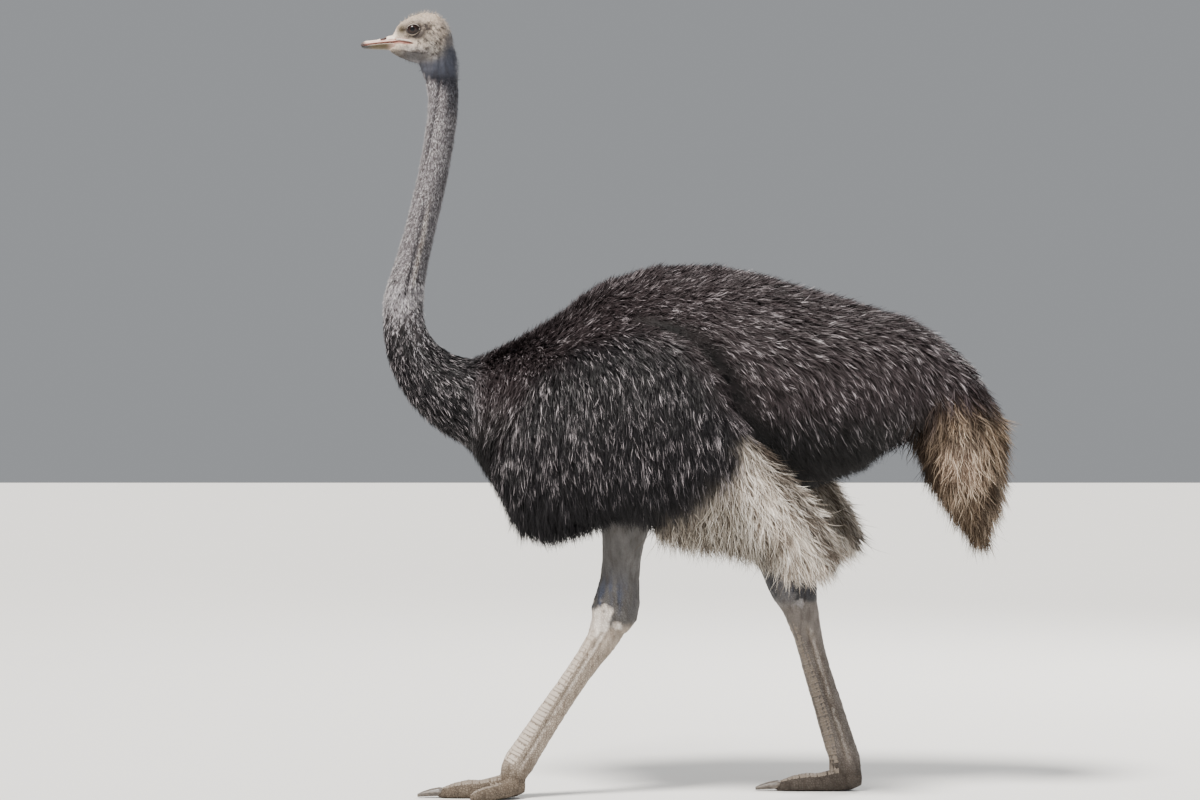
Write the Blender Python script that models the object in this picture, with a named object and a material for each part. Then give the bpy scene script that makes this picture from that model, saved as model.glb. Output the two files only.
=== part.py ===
"""A life-size walking male ostrich, in solids.

Metres, +Z up. The bird faces -Y and its left side is at +X. The origin is on the floor,
under the middle of the bird's box. Lengths run along the body as "back", which is +Y.
Each solid reaches out to the tips of the plumage that covers it.
"""

import math

import bmesh
import bpy
import numpy as np
from mathutils import Matrix, Vector

GAP = 0.0004  # between neighbouring solids
HEAD_TRIANGLES = 560
EYE_RADIUS = 0.0215
EYE_PLACE = (0.0262, -0.7455, 2.0945)
EAR_PLACE = (0.0435, -0.6862, 2.0582)
EAR_RADIUS = 0.0062
NOSTRIL_PLACE = (0.0115, -0.832, 2.0725)
NECK_CUTS = (1.96, 1.70, 1.40)  # heights at which the neck is parted, from the head down
FEATHER_BLACK = ("feather_black", (0.016, 0.014, 0.017), 0.62)
FEATHER_WHITE = ("feather_white", (0.62, 0.56, 0.48), 0.75)
DOWN = ("down_grey", (0.46, 0.40, 0.37), 0.85)
SKIN = ("skin_grey", (0.42, 0.37, 0.34), 0.6)
HORN = ("bill_horn", (0.62, 0.45, 0.37), 0.4)
CLAW = ("claw_horn", (0.20, 0.16, 0.13), 0.45)
EYE = ("eye_brown", (0.05, 0.025, 0.015), 0.08)


def clear_scene():
    for item in list(bpy.data.objects):
        bpy.data.objects.remove(item)


def material_of(finish):
    name, colour, roughness = finish
    found = bpy.data.materials.get(name)
    if found is None:
        found = bpy.data.materials.new(name)
        found.use_nodes = True
        shader = found.node_tree.nodes["Principled BSDF"]
        shader.inputs["Base Color"].default_value = (*colour, 1.0)
        shader.inputs["Roughness"].default_value = roughness
        shader.inputs["Metallic"].default_value = 0.0
    return found


def smooth_rows(stations, rings):
    """This many rows, evenly spread along a smooth curve through the stations."""
    rows = np.array(stations, float)
    padded = np.vstack([2 * rows[0] - rows[1], rows, 2 * rows[-1] - rows[-2]])
    found = []
    for place in np.linspace(0, len(rows) - 1, rings):
        i = min(int(place), len(rows) - 2)
        t = place - i
        a, b, c, d = padded[i : i + 4]
        bend = (2 * a - 5 * b + 4 * c - d) * t**2 + (3 * b - a - 3 * c + d) * t**3
        found.append(b + 0.5 * ((c - a) * t + bend))
    return found


def section(centre, across, up, half_width, rise, fall, sides, power=2.0):
    """A closed loop round centre: half_width to each side, rise above it and fall below it."""
    points = []
    for k in range(sides):
        turn = 2 * math.pi * k / sides
        c, s = math.cos(turn), math.sin(turn)
        x = math.copysign(abs(c) ** (2 / power), c) * half_width
        z = math.copysign(abs(s) ** (2 / power), s) * (rise if s > 0 else fall)
        points.append(Vector(centre) + Vector(across) * x + Vector(up) * z)
    return points


def finish_object(name, bm, finish):
    bmesh.ops.triangulate(bm, faces=bm.faces)
    bmesh.ops.recalc_face_normals(bm, faces=bm.faces)
    mesh = bpy.data.meshes.new(name)
    bm.to_mesh(mesh)
    bm.free()
    mesh.materials.append(material_of(finish))
    mesh.shade_smooth()
    item = bpy.data.objects.new(name, mesh)
    bpy.context.scene.collection.objects.link(item)
    return item


def loft(name, loops, finish):
    """A closed body through the loops, with a point at each end that rounds the cap."""
    bm = bmesh.new()
    rings = [[bm.verts.new(p) for p in loop] for loop in loops]
    for ring in rings:
        for k, vertex in enumerate(ring):
            bm.edges.new((vertex, ring[(k + 1) % len(ring)]))
    for first, second in zip(rings, rings[1:]):
        edges = [e for e in bm.edges if all(v in first or v in second for v in e.verts)]
        bmesh.ops.bridge_loops(bm, edges=edges)
    for ring in (rings[0], rings[-1]):
        bm.faces.new(ring)
    return finish_object(name, bm, finish)


def upright_loft(name, stations, sides, rings, finish, power=2.0):
    """A body of upright sections. Stations are side, back, top, bottom, half width, widest height."""
    loops = []
    for side, back, top, bottom, half, waist in smooth_rows(stations, rings):
        centre = (side, back, waist)
        loops.append(section(centre, (1, 0, 0), (0, 0, 1), half, top - waist, waist - bottom, sides, power))
    return loft(name, loops, finish)


def path_loops(stations, sides, rings, power=2.0):
    """Loops square to a path. Stations are side, back, height, half depth and half width."""
    rows = smooth_rows(stations, rings)
    places = [Vector(row[:3]) for row in rows]
    loops = []
    for i, row in enumerate(rows):
        along = (places[min(i + 1, len(rows) - 1)] - places[max(i - 1, 0)]).normalized()
        across = Vector((1, 0, 0)) - along * along.x
        across.normalize()
        up = across.cross(along)
        loops.append(section(places[i], across, up, row[4], row[3], row[3], sides, power))
    return loops


def path_loft(name, stations, sides, rings, finish, power=2.0):
    return loft(name, path_loops(stations, sides, rings, power), finish)


def helper(item):
    item.hide_render = True
    item.display_type = "WIRE"
    return item


def evaluated_copy(item, name):
    bpy.context.view_layer.update()
    graph = bpy.context.evaluated_depsgraph_get()
    mesh = bpy.data.meshes.new_from_object(item.evaluated_get(graph), depsgraph=graph)
    made = bpy.data.objects.new(name, mesh)
    bpy.context.scene.collection.objects.link(made)
    return made


def room_of(item, by=GAP):
    """A hidden copy of a solid, larger by the gap all round, to cut its neighbours with."""
    cutter = helper(evaluated_copy(item, item.name + "_room"))
    swell = cutter.modifiers.new("swell", "DISPLACE")
    swell.strength = by
    swell.mid_level = 0.0
    return cutter


def apply_boolean(item, other, operation):
    cut = item.modifiers.new(operation.lower(), "BOOLEAN")
    cut.operation = operation
    cut.object = other
    cut.solver = "EXACT"
    done = evaluated_copy(item, "done")
    item.modifiers.clear()
    item.data = done.data
    bpy.data.objects.remove(done)
    return item


def carve(item, *rooms):
    """Takes away from item the room of each neighbour."""
    for room in rooms:
        apply_boolean(item, room, "DIFFERENCE")
    return item


def slab(low, high):
    """A hidden box from its lowest corner to its highest."""
    bm = bmesh.new()
    size = Vector(high) - Vector(low)
    middle = (Vector(high) + Vector(low)) / 2
    bmesh.ops.create_cube(bm, size=1.0, matrix=Matrix.Translation(middle) @ Matrix.Diagonal((*size, 1.0)))
    return helper(finish_object("slab", bm, SKIN))


def keep_between(item, low, high):
    """Keeps the part of item that is between two heights."""
    box = slab((-1, -2, low), (1, 2, high))
    apply_boolean(item, box, "INTERSECT")
    bpy.data.objects.remove(box)
    return item


def blend(item, voxel, rounds, faces):
    """One smooth skin over joined shapes: remeshed, relaxed and thinned to about this many triangles."""
    remesh = item.modifiers.new("remesh", "REMESH")
    remesh.mode = "VOXEL"
    remesh.voxel_size = voxel
    relax = item.modifiers.new("relax", "SMOOTH")
    relax.factor = 0.5
    relax.iterations = rounds
    done = evaluated_copy(item, "done")
    item.modifiers.clear()
    item.data = done.data
    bpy.data.objects.remove(done)
    thin = item.modifiers.new("thin", "DECIMATE")
    thin.ratio = faces / sum(len(p.vertices) - 2 for p in item.data.polygons)
    done = evaluated_copy(item, "done")
    item.modifiers.clear()
    item.data = done.data
    bpy.data.objects.remove(done)
    return item


def join(name, items, finish):
    """One object that holds the meshes of several, still as separate shells."""
    bm = bmesh.new()
    for item in items:
        bm.from_mesh(item.data)
        bpy.data.objects.remove(item)
    return finish_object(name, bm, finish)


def ball(name, centre, radius, finish, detail=3, stretch=(1, 1, 1)):
    bm = bmesh.new()
    place = Matrix.Translation(centre) @ Matrix.Diagonal((*stretch, 1.0))
    bmesh.ops.create_icosphere(bm, subdivisions=detail, radius=radius, matrix=place)
    return finish_object(name, bm, finish)


# The trunk, from the breast to the rump: side, back, top, bottom, half width, height of the widest point.
TRUNK = [
    (0, -0.612, 1.140, 1.030, 0.045, 1.085),
    (0, -0.592, 1.180, 0.965, 0.092, 1.070),
    (0, -0.546, 1.213, 0.870, 0.135, 1.045),
    (0, -0.488, 1.243, 0.768, 0.172, 1.020),
    (0, -0.411, 1.293, 0.726, 0.198, 1.010),
    (0, -0.337, 1.338, 0.730, 0.213, 1.030),
    (0, -0.255, 1.393, 0.772, 0.226, 1.060),
    (0, -0.150, 1.437, 0.792, 0.240, 1.090),
    (0, 0.000, 1.459, 0.790, 0.250, 1.110),
    (0, 0.150, 1.441, 0.800, 0.253, 1.120),
    (0, 0.287, 1.406, 0.830, 0.246, 1.120),
    (0, 0.400, 1.372, 0.858, 0.232, 1.120),
    (0, 0.480, 1.354, 0.894, 0.215, 1.120),
    (0, 0.562, 1.333, 0.950, 0.190, 1.130),
    (0, 0.645, 1.303, 1.008, 0.160, 1.135),
    (0, 0.727, 1.248, 1.045, 0.120, 1.130),
    (0, 0.790, 1.178, 1.060, 0.075, 1.110),
    (0, 0.820, 1.125, 1.075, 0.030, 1.100),
]
# The neck, from inside the head down and back into the trunk: side, back, height, half depth, half width.
NECK = [
    (0, -0.690, 2.060, 0.050, 0.036),
    (0, -0.680, 2.010, 0.054, 0.038),
    (0, -0.669, 1.955, 0.0450, 0.038),
    (0, -0.666, 1.890, 0.0425, 0.038),
    (0, -0.675, 1.810, 0.0420, 0.038),
    (0, -0.691, 1.715, 0.0422, 0.0385),
    (0, -0.713, 1.615, 0.0425, 0.039),
    (0, -0.738, 1.515, 0.0435, 0.040),
    (0, -0.760, 1.430, 0.0480, 0.043),
    (0, -0.776, 1.355, 0.0550, 0.049),
    (0, -0.775, 1.280, 0.0640, 0.057),
    (0, -0.753, 1.210, 0.0780, 0.068),
    (0, -0.708, 1.147, 0.0960, 0.082),
    (0, -0.643, 1.098, 0.1150, 0.098),
    (0, -0.560, 1.073, 0.1330, 0.115),
    (0, -0.460, 1.063, 0.1500, 0.130),
]
# The head, from the base of the bill to the back of the skull, as the trunk's stations are.
HEAD = [
    (0, -0.815, 2.066, 2.041, 0.0190, 2.055),
    (0, -0.803, 2.088, 2.034, 0.0252, 2.060),
    (0, -0.790, 2.112, 2.026, 0.0310, 2.066),
    (0, -0.770, 2.127, 2.017, 0.0365, 2.072),
    (0, -0.748, 2.138, 2.009, 0.0420, 2.078),
    (0, -0.726, 2.1445, 2.004, 0.0452, 2.081),
    (0, -0.704, 2.1453, 2.003, 0.0465, 2.080),
    (0, -0.682, 2.139, 2.006, 0.0452, 2.077),
    (0, -0.662, 2.124, 2.015, 0.0405, 2.073),
    (0, -0.648, 2.100, 2.032, 0.0320, 2.067),
    (0, -0.641, 2.080, 2.050, 0.0180, 2.065),
]
# The bill's two halves, from the tip back to the gape, as the trunk's stations are.
BILL_UPPER = [
    (0, -0.8922, 2.0590, 2.0535, 0.0050, 2.0560),
    (0, -0.8870, 2.0645, 2.0545, 0.0105, 2.0570),
    (0, -0.8760, 2.0680, 2.0562, 0.0158, 2.0585),
    (0, -0.8600, 2.0697, 2.0580, 0.0188, 2.0600),
    (0, -0.8400, 2.0722, 2.0600, 0.0215, 2.0618),
    (0, -0.8200, 2.0800, 2.0615, 0.0245, 2.0635),
    (0, -0.8020, 2.0850, 2.0625, 0.0280, 2.0645),
    (0, -0.7800, 2.0770, 2.0615, 0.0320, 2.0635),
    (0, -0.7560, 2.0660, 2.0580, 0.0352, 2.0600),
]
BILL_LOWER = [
    (0, -0.8905, 2.0540, 2.0505, 0.0045, 2.0520),
    (0, -0.8850, 2.0540, 2.0470, 0.0095, 2.0520),
    (0, -0.8740, 2.0558, 2.0450, 0.0148, 2.0535),
    (0, -0.8600, 2.0577, 2.0445, 0.0176, 2.0550),
    (0, -0.8400, 2.0597, 2.0440, 0.0202, 2.0570),
    (0, -0.8200, 2.0612, 2.0430, 0.0230, 2.0580),
    (0, -0.8020, 2.0622, 2.0425, 0.0264, 2.0585),
    (0, -0.7800, 2.0612, 2.0455, 0.0303, 2.0575),
    (0, -0.7560, 2.0577, 2.0480, 0.0336, 2.0545),
]
# The tail: coverts and plumes that arch back and hang down, as the neck's stations are.
TAIL = [
    (0, 0.640, 1.150, 0.100, 0.120),
    (0, 0.700, 1.115, 0.125, 0.142),
    (0, 0.737, 1.045, 0.132, 0.152),
    (0, 0.759, 0.979, 0.1357, 0.152),
    (0, 0.771, 0.905, 0.121, 0.142),
    (0, 0.7885, 0.835, 0.097, 0.118),
    (0, 0.798, 0.772, 0.070, 0.086),
    (0, 0.803, 0.728, 0.044, 0.054),
    (0, 0.808, 0.699, 0.015, 0.020),
]
# The left wing's coverts over the flank, from the breast back, as the trunk's stations are.
WING = [
    (0.125, -0.537, 0.985, 0.885, 0.030, 0.930),
    (0.135, -0.505, 1.070, 0.803, 0.052, 0.945),
    (0.148, -0.462, 1.135, 0.746, 0.070, 0.950),
    (0.166, -0.385, 1.207, 0.721, 0.086, 0.960),
    (0.182, -0.290, 1.258, 0.738, 0.096, 0.980),
    (0.194, -0.195, 1.285, 0.776, 0.103, 1.000),
    (0.200, -0.103, 1.288, 0.757, 0.106, 1.000),
    (0.204, -0.023, 1.268, 0.772, 0.104, 0.995),
    (0.206, 0.042, 1.212, 0.796, 0.098, 0.980),
    (0.208, 0.097, 1.130, 0.818, 0.084, 0.960),
    (0.210, 0.135, 1.040, 0.856, 0.060, 0.945),
    (0.212, 0.154, 0.980, 0.900, 0.030, 0.940),
]
# The left wing's long pale quills, which hang behind and under the coverts.
WING_PLUMES = [
    (0.212, -0.098, 0.775, 0.735, 0.014, 0.755),
    (0.218, -0.060, 0.810, 0.718, 0.026, 0.760),
    (0.222, 0.010, 0.870, 0.703, 0.036, 0.770),
    (0.228, 0.080, 0.960, 0.694, 0.044, 0.790),
    (0.236, 0.135, 1.030, 0.678, 0.050, 0.810),
    (0.244, 0.205, 0.968, 0.650, 0.054, 0.770),
    (0.248, 0.270, 0.895, 0.610, 0.052, 0.730),
    (0.248, 0.335, 0.820, 0.612, 0.043, 0.700),
    (0.246, 0.380, 0.745, 0.640, 0.028, 0.690),
    (0.245, 0.400, 0.700, 0.668, 0.012, 0.684),
]
FAR_PLUMES_BACK = 0.105  # how much further back and up the right wing's plumes trail
FAR_PLUMES_UP = 0.030

# The legs: each drumstick and shank runs down its own path, as the neck's stations are.
LEFT_DRUMSTICK = [
    (0.108, -0.090, 1.050, 0.118, 0.084),
    (0.114, -0.112, 0.965, 0.124, 0.086),
    (0.116, -0.137, 0.880, 0.105, 0.078),
    (0.113, -0.155, 0.805, 0.084, 0.067),
    (0.108, -0.166, 0.750, 0.068, 0.056),
    (0.103, -0.172, 0.700, 0.0585, 0.048),
    (0.100, -0.177, 0.645, 0.0535, 0.044),
    (0.098, -0.181, 0.591, 0.0550, 0.044),
    (0.096, -0.187, 0.540, 0.0625, 0.046),
    (0.095, -0.196, 0.500, 0.0650, 0.046),
    (0.094, -0.210, 0.466, 0.0500, 0.040),
]
LEFT_SHANK = [
    (0.094, -0.204, 0.496, 0.052, 0.041),
    (0.093, -0.219, 0.452, 0.0475, 0.039),
    (0.093, -0.234, 0.422, 0.0415, 0.036),
    (0.092, -0.2706, 0.3710, 0.0362, 0.0305),
    (0.091, -0.306, 0.3192, 0.0345, 0.028),
    (0.090, -0.3438, 0.2648, 0.0355, 0.028),
    (0.089, -0.3805, 0.2104, 0.0378, 0.029),
    (0.088, -0.4159, 0.156, 0.0395, 0.032),
    (0.087, -0.4500, 0.103, 0.0430, 0.038),
    (0.087, -0.470, 0.070, 0.0390, 0.040),
    (0.087, -0.479, 0.048, 0.0290, 0.034),
]
RIGHT_DRUMSTICK = [
    (-0.108, 0.010, 1.050, 0.118, 0.084),
    (-0.112, 0.055, 0.965, 0.122, 0.086),
    (-0.111, 0.110, 0.885, 0.106, 0.078),
    (-0.106, 0.165, 0.805, 0.090, 0.067),
    (-0.099, 0.213, 0.735, 0.077, 0.056),
    (-0.092, 0.249, 0.680, 0.0700, 0.048),
    (-0.087, 0.275, 0.632, 0.0690, 0.046),
    (-0.083, 0.294, 0.588, 0.0710, 0.046),
    (-0.080, 0.308, 0.545, 0.0640, 0.044),
    (-0.078, 0.320, 0.508, 0.0500, 0.038),
]
RIGHT_SHANK = [
    (-0.079, 0.313, 0.530, 0.054, 0.041),
    (-0.077, 0.3310, 0.4692, 0.0455, 0.0375),
    (-0.075, 0.3453, 0.4136, 0.0385, 0.0335),
    (-0.073, 0.3592, 0.358, 0.0378, 0.030),
    (-0.070, 0.3755, 0.3024, 0.0390, 0.029),
    (-0.067, 0.3930, 0.2468, 0.0400, 0.029),
    (-0.064, 0.4097, 0.1912, 0.0415, 0.030),
    (-0.061, 0.4266, 0.1356, 0.0425, 0.033),
    (-0.058, 0.4440, 0.0850, 0.0425, 0.038),
    (-0.057, 0.453, 0.060, 0.0370, 0.039),
    (-0.056, 0.457, 0.042, 0.0290, 0.033),
]
LEFT_BALL = Vector((0.087, -0.474, 0))  # the floor below the joint at the foot of the shank
RIGHT_BALL = Vector((-0.057, 0.453, 0))
# A toe: how far along, height of its middle, half height, half width. The floor cuts its sole flat.
INNER_TOE = [
    (-0.036, 0.036, 0.022, 0.022),
    (-0.010, 0.036, 0.034, 0.0325),
    (0.040, 0.028, 0.0325, 0.0325),
    (0.085, 0.022, 0.0260, 0.0290),
    (0.120, 0.022, 0.0270, 0.0300),
    (0.158, 0.017, 0.0230, 0.0270),
    (0.186, 0.012, 0.0170, 0.0210),
    (0.200, 0.010, 0.0100, 0.0120),
]
OUTER_TOE = [
    (-0.020, 0.032, 0.018, 0.014),
    (0.010, 0.028, 0.0240, 0.0200),
    (0.045, 0.021, 0.0215, 0.0180),
    (0.080, 0.017, 0.0200, 0.0185),
    (0.105, 0.013, 0.0160, 0.0150),
    (0.120, 0.009, 0.0090, 0.0085),
]
OUTER_TOE_TURN = math.radians(24)
OUTER_TOE_SHIFT = 0.034
CLAW_SHAPE = [
    (0.178, 0.016, 0.0105, 0.0150),
    (0.198, 0.0165, 0.0125, 0.0155),
    (0.220, 0.0140, 0.0110, 0.0130),
    (0.242, 0.0100, 0.0080, 0.0090),
    (0.258, 0.0060, 0.0045, 0.0045),
]


def make_bill():
    """Both halves, with their mouth edges a gap apart, and the nostrils in the upper one."""
    upper = upright_loft("bill_upper", BILL_UPPER, 12, 10, HORN, 2.3)
    lower = upright_loft("bill_lower", BILL_LOWER, 12, 9, HORN, 2.3)
    rooms = [room_of(upper), room_of(lower)]
    carve(lower, rooms[0])
    for sign in (-1, 1):
        x, y, z = NOSTRIL_PLACE
        pit = helper(ball("pit", (x * sign, y, z), 0.0042, HORN, 2, (0.75, 1.9, 0.8)))
        apply_boolean(upper, pit, "DIFFERENCE")
        bpy.data.objects.remove(pit)
    return rooms


def make_head(bill_rooms):
    """Skull, face and throat as one body, with sockets for the eyes, the bill and the ears."""
    skull = upright_loft("skull", HEAD, 24, 22, SKIN, 2.15)
    throat = path_loft("throat", NECK[:5], 20, 9, SKIN)
    brows = []
    for sign in (-1, 1):
        x, y, z = EYE_PLACE
        brows.append(ball("brow", (sign * 0.0285, y - 0.002, z + 0.0085), 0.0175, SKIN, 3, (0.95, 1.25, 0.75)))
        brows.append(ball("cheek", (sign * 0.026, -0.716, 2.053), 0.022, SKIN, 3, (0.8, 1.35, 1.0)))
    head = join("head", [skull, throat, *brows], SKIN)
    blend(head, 0.0022, 5, HEAD_TRIANGLES)
    keep_between(head, NECK_CUTS[0] + GAP, 2.3)
    for side, sign in (("left", 1), ("right", -1)):
        x, y, z = EYE_PLACE
        eye = ball("eye_" + side, (sign * x, y, z), EYE_RADIUS, EYE, 3)
        carve(head, room_of(eye))
        x, y, z = EAR_PLACE
        ear = helper(ball("ear", (sign * x, y, z), EAR_RADIUS, SKIN, 2, (1.0, 0.8, 1.1)))
        apply_boolean(head, ear, "DIFFERENCE")
    carve(head, *bill_rooms)


def make_neck(trunk_room):
    """The neck in three lengths, the last one bedded against the trunk."""
    lengths = (("neck_upper", 0, 1), ("neck_middle", 1, 2), ("neck_lower", 2, None))
    for name, first, last in lengths:
        item = path_loft(name, NECK[1:], 16, 18, DOWN if last else FEATHER_BLACK)
        low = NECK_CUTS[last] + GAP if last else 0.5
        keep_between(item, low, NECK_CUTS[first] - (GAP if first else 0))
        if last is None:
            carve(item, trunk_room)


def moved(stations, mirror, back=0.0, up=0.0):
    """The stations of an upright loft for the other side, or further back and up."""
    return [(mirror * x, y + back, top + up, low + up, half, z + up) for x, y, top, low, half, z in stations]


def make_wing(side, sign, trunk_room, leg_room):
    """A wing over the flank and, behind it, the pale plumes of its quills."""
    wing = upright_loft("wing_" + side, moved(WING, sign), 16, 12, FEATHER_BLACK)
    wing_room = room_of(wing)
    carve(wing, trunk_room, leg_room)
    stations = moved(WING_PLUMES, 1) if sign > 0 else moved(WING_PLUMES, -1, FAR_PLUMES_BACK, FAR_PLUMES_UP)
    plumes = upright_loft("wing_plumes_" + side, stations, 12, 10, FEATHER_WHITE)
    carve(plumes, trunk_room, wing_room, leg_room)


def toe(name, stations, ball_place, turn, shift, finish, sides):
    """A toe or claw that points forward from the ball of the foot, flat where it meets the floor."""
    forward = Vector((math.sin(turn), -math.cos(turn), 0))
    across = Vector((math.cos(turn), math.sin(turn), 0))
    start = ball_place + Vector((shift, 0, 0))
    loops = []
    for along, middle, rise, half in smooth_rows(stations, len(stations)):
        centre = start + forward * along + Vector((0, 0, middle))
        loop = section(centre, across, (0, 0, 1), half, rise, rise, sides)
        loops.append([Vector((p.x, p.y, max(p.z, 0.0))) for p in loop])
    return loft(name, loops, finish)


def make_leg(side, sign, drumstick, shank, ball_place, trunk_room):
    """Drumstick, shank, two toes and the inner toe's claw."""
    low = path_loft("shank_" + side, shank, 12, 12, SKIN)
    low_room = room_of(low)
    high = path_loft("drumstick_" + side, drumstick, 12, 11, SKIN)
    high_room = room_of(high)
    carve(high, trunk_room)
    carve(low, high_room)
    claw = toe("claw_" + side, CLAW_SHAPE, ball_place, 0.0, 0.0, CLAW, 8)
    inner = toe("toe_inner_" + side, INNER_TOE, ball_place, 0.0, 0.0, SKIN, 12)
    inner_room = room_of(inner)
    outer = toe(
        "toe_outer_" + side,
        OUTER_TOE,
        ball_place,
        sign * OUTER_TOE_TURN,
        sign * OUTER_TOE_SHIFT,
        SKIN,
        12,
    )
    carve(inner, low_room, room_of(claw))
    carve(outer, low_room, inner_room)
    return high_room


def make_ostrich():
    clear_scene()
    trunk = upright_loft("trunk", TRUNK, 24, 17, FEATHER_BLACK, 2.15)
    trunk_room = room_of(trunk)
    tail = path_loft("tail", TAIL, 16, 9, FEATHER_WHITE)
    carve(tail, trunk_room)
    make_head(make_bill())
    make_neck(trunk_room)
    left = make_leg("left", 1, LEFT_DRUMSTICK, LEFT_SHANK, LEFT_BALL, trunk_room)
    right = make_leg("right", -1, RIGHT_DRUMSTICK, RIGHT_SHANK, RIGHT_BALL, trunk_room)
    make_wing("left", 1, trunk_room, left)
    make_wing("right", -1, trunk_room, right)


make_ostrich()
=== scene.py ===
import math

import bpy
import numpy as np
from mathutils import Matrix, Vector
from mathutils.bvhtree import BVHTree


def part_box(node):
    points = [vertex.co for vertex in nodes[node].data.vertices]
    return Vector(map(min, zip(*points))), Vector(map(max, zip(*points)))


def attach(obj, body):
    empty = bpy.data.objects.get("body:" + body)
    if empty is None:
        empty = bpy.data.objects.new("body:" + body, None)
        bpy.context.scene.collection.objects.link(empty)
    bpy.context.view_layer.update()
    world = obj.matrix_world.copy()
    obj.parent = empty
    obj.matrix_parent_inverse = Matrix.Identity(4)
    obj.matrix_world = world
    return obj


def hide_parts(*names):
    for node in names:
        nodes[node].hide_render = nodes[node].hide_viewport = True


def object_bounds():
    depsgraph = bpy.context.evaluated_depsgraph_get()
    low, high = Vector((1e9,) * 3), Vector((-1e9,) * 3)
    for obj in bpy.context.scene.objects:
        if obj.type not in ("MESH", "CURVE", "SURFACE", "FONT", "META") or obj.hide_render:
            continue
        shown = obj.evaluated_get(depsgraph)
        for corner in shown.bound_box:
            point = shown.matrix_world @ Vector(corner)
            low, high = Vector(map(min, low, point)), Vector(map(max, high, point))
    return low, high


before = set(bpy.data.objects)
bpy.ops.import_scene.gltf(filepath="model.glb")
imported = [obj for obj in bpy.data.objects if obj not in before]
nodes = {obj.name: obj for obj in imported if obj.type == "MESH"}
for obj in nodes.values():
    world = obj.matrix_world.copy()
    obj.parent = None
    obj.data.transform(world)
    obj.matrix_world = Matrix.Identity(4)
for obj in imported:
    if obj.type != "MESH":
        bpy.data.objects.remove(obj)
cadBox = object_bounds()


# small helpers for meshes held as arrays
def pointsOf(piece):
    flat = np.empty(len(piece.data.vertices) * 3, np.float32)
    piece.data.vertices.foreach_get("co", flat)
    return flat.reshape(-1, 3).astype(float)


def normalsOf(piece):
    flat = np.empty(len(piece.data.vertices) * 3, np.float32)
    piece.data.vertex_normals.foreach_get("vector", flat)
    return flat.reshape(-1, 3).astype(float)


def putPoints(piece, points):
    piece.data.vertices.foreach_set("co", points.astype(np.float32).ravel())
    piece.data.update()


def edgesOf(piece):
    flat = np.empty(len(piece.data.edges) * 2, np.int32)
    piece.data.edges.foreach_get("vertices", flat)
    return flat.reshape(-1, 2)


def relaxed(values, edges, rounds, amount=0.5):
    # each value drifts towards the mean of its neighbours; amount may differ from point to point
    values = values.astype(float)
    wide = values.reshape(len(values), -1)
    ends = np.concatenate([edges[:, 0], edges[:, 1]])
    others = np.concatenate([edges[:, 1], edges[:, 0]])
    count = np.maximum(np.bincount(ends, minlength=len(wide)), 1)
    share = amount if np.isscalar(amount) else amount[:, None]
    for _ in range(rounds):
        mean = np.stack(
            [np.bincount(ends, wide[others, k], len(wide)) / count for k in range(wide.shape[1])], 1
        )
        wide = wide + (mean - wide) * share
    return wide.reshape(values.shape)


def unit(vectors):
    return vectors / np.maximum(np.linalg.norm(vectors, axis=-1, keepdims=True), 1e-9)


def ease(value, low, high):
    # 0 below low, 1 above high, smooth between; low may be above high
    t = np.clip((value - low) / (high - low), 0.0, 1.0)
    return t * t * (3 - 2 * t)


def bump(distance, width):
    return np.exp(-((distance / width) ** 2))


def pick(*pieces):
    bpy.ops.object.select_all(action="DESELECT")
    for piece in pieces:
        piece.select_set(True)
    bpy.context.view_layer.objects.active = pieces[0]


def addAttribute(piece, name, values):
    made = piece.data.attributes.new(name, "FLOAT", "POINT")
    made.data.foreach_set("value", np.asarray(values, np.float32).ravel())


def addTint(piece, colours):
    # the colour of each point, which the materials read as "tint"
    made = piece.data.attributes.new("tint", "FLOAT_COLOR", "POINT")
    full = np.concatenate([np.clip(colours, 0, 1), np.ones((len(colours), 1))], 1)
    made.data.foreach_set("color", full.astype(np.float32).ravel())


def addPiece(name, mesh):
    piece = bpy.data.objects.new(name, mesh)
    bpy.context.scene.collection.objects.link(piece)
    return piece


def copyOfNodes(name, wanted):
    # one object that holds the merged meshes of several CAD nodes
    copies = [addPiece(name, nodes[node].data.copy()) for node in wanted]
    pick(*copies)
    if len(copies) > 1:
        bpy.ops.object.join()
    bpy.ops.object.mode_set(mode="EDIT")
    bpy.ops.mesh.select_all(action="SELECT")
    bpy.ops.mesh.remove_doubles(threshold=0.00001)
    bpy.ops.object.mode_set(mode="OBJECT")
    copies[0].name = name
    copies[0].data.materials.clear()
    return copies[0]


def remeshed(piece, voxel):
    pick(piece)
    piece.data.remesh_voxel_size = voxel
    bpy.ops.object.voxel_remesh()
    return piece


def applyModifier(piece, kind, **settings):
    pick(piece)
    made = piece.modifiers.new(kind.lower(), kind)
    for key, value in settings.items():
        setattr(made, key, value)
    bpy.ops.object.modifier_apply(modifier=made.name)


def finished(piece, replaced=()):
    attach(piece, "root")
    if replaced:
        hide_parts(*replaced)


# shader maths
class Wire:
    # a node's output that can be used in sums
    def __init__(self, shade, socket):
        self.shade, self.socket = shade, socket

    def math(self, operation, first, second):
        return self.shade.add("ShaderNodeMath", {"operation": operation}, {0: first, 1: second})

    def __add__(self, other):
        return self.math("ADD", self, other)

    def __sub__(self, other):
        return self.math("SUBTRACT", self, other)

    def __rsub__(self, other):
        return self.math("SUBTRACT", other, self)

    def __mul__(self, other):
        return self.math("MULTIPLY", self, other)

    __radd__ = __add__
    __rmul__ = __mul__

    def ramp(self, low, high):
        # 0 below low, 1 above high, smooth between
        inputs = {"Value": self, "From Min": low, "From Max": high}
        return self.shade.add("ShaderNodeMapRange", {"interpolation_type": "SMOOTHSTEP"}, inputs)


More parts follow.
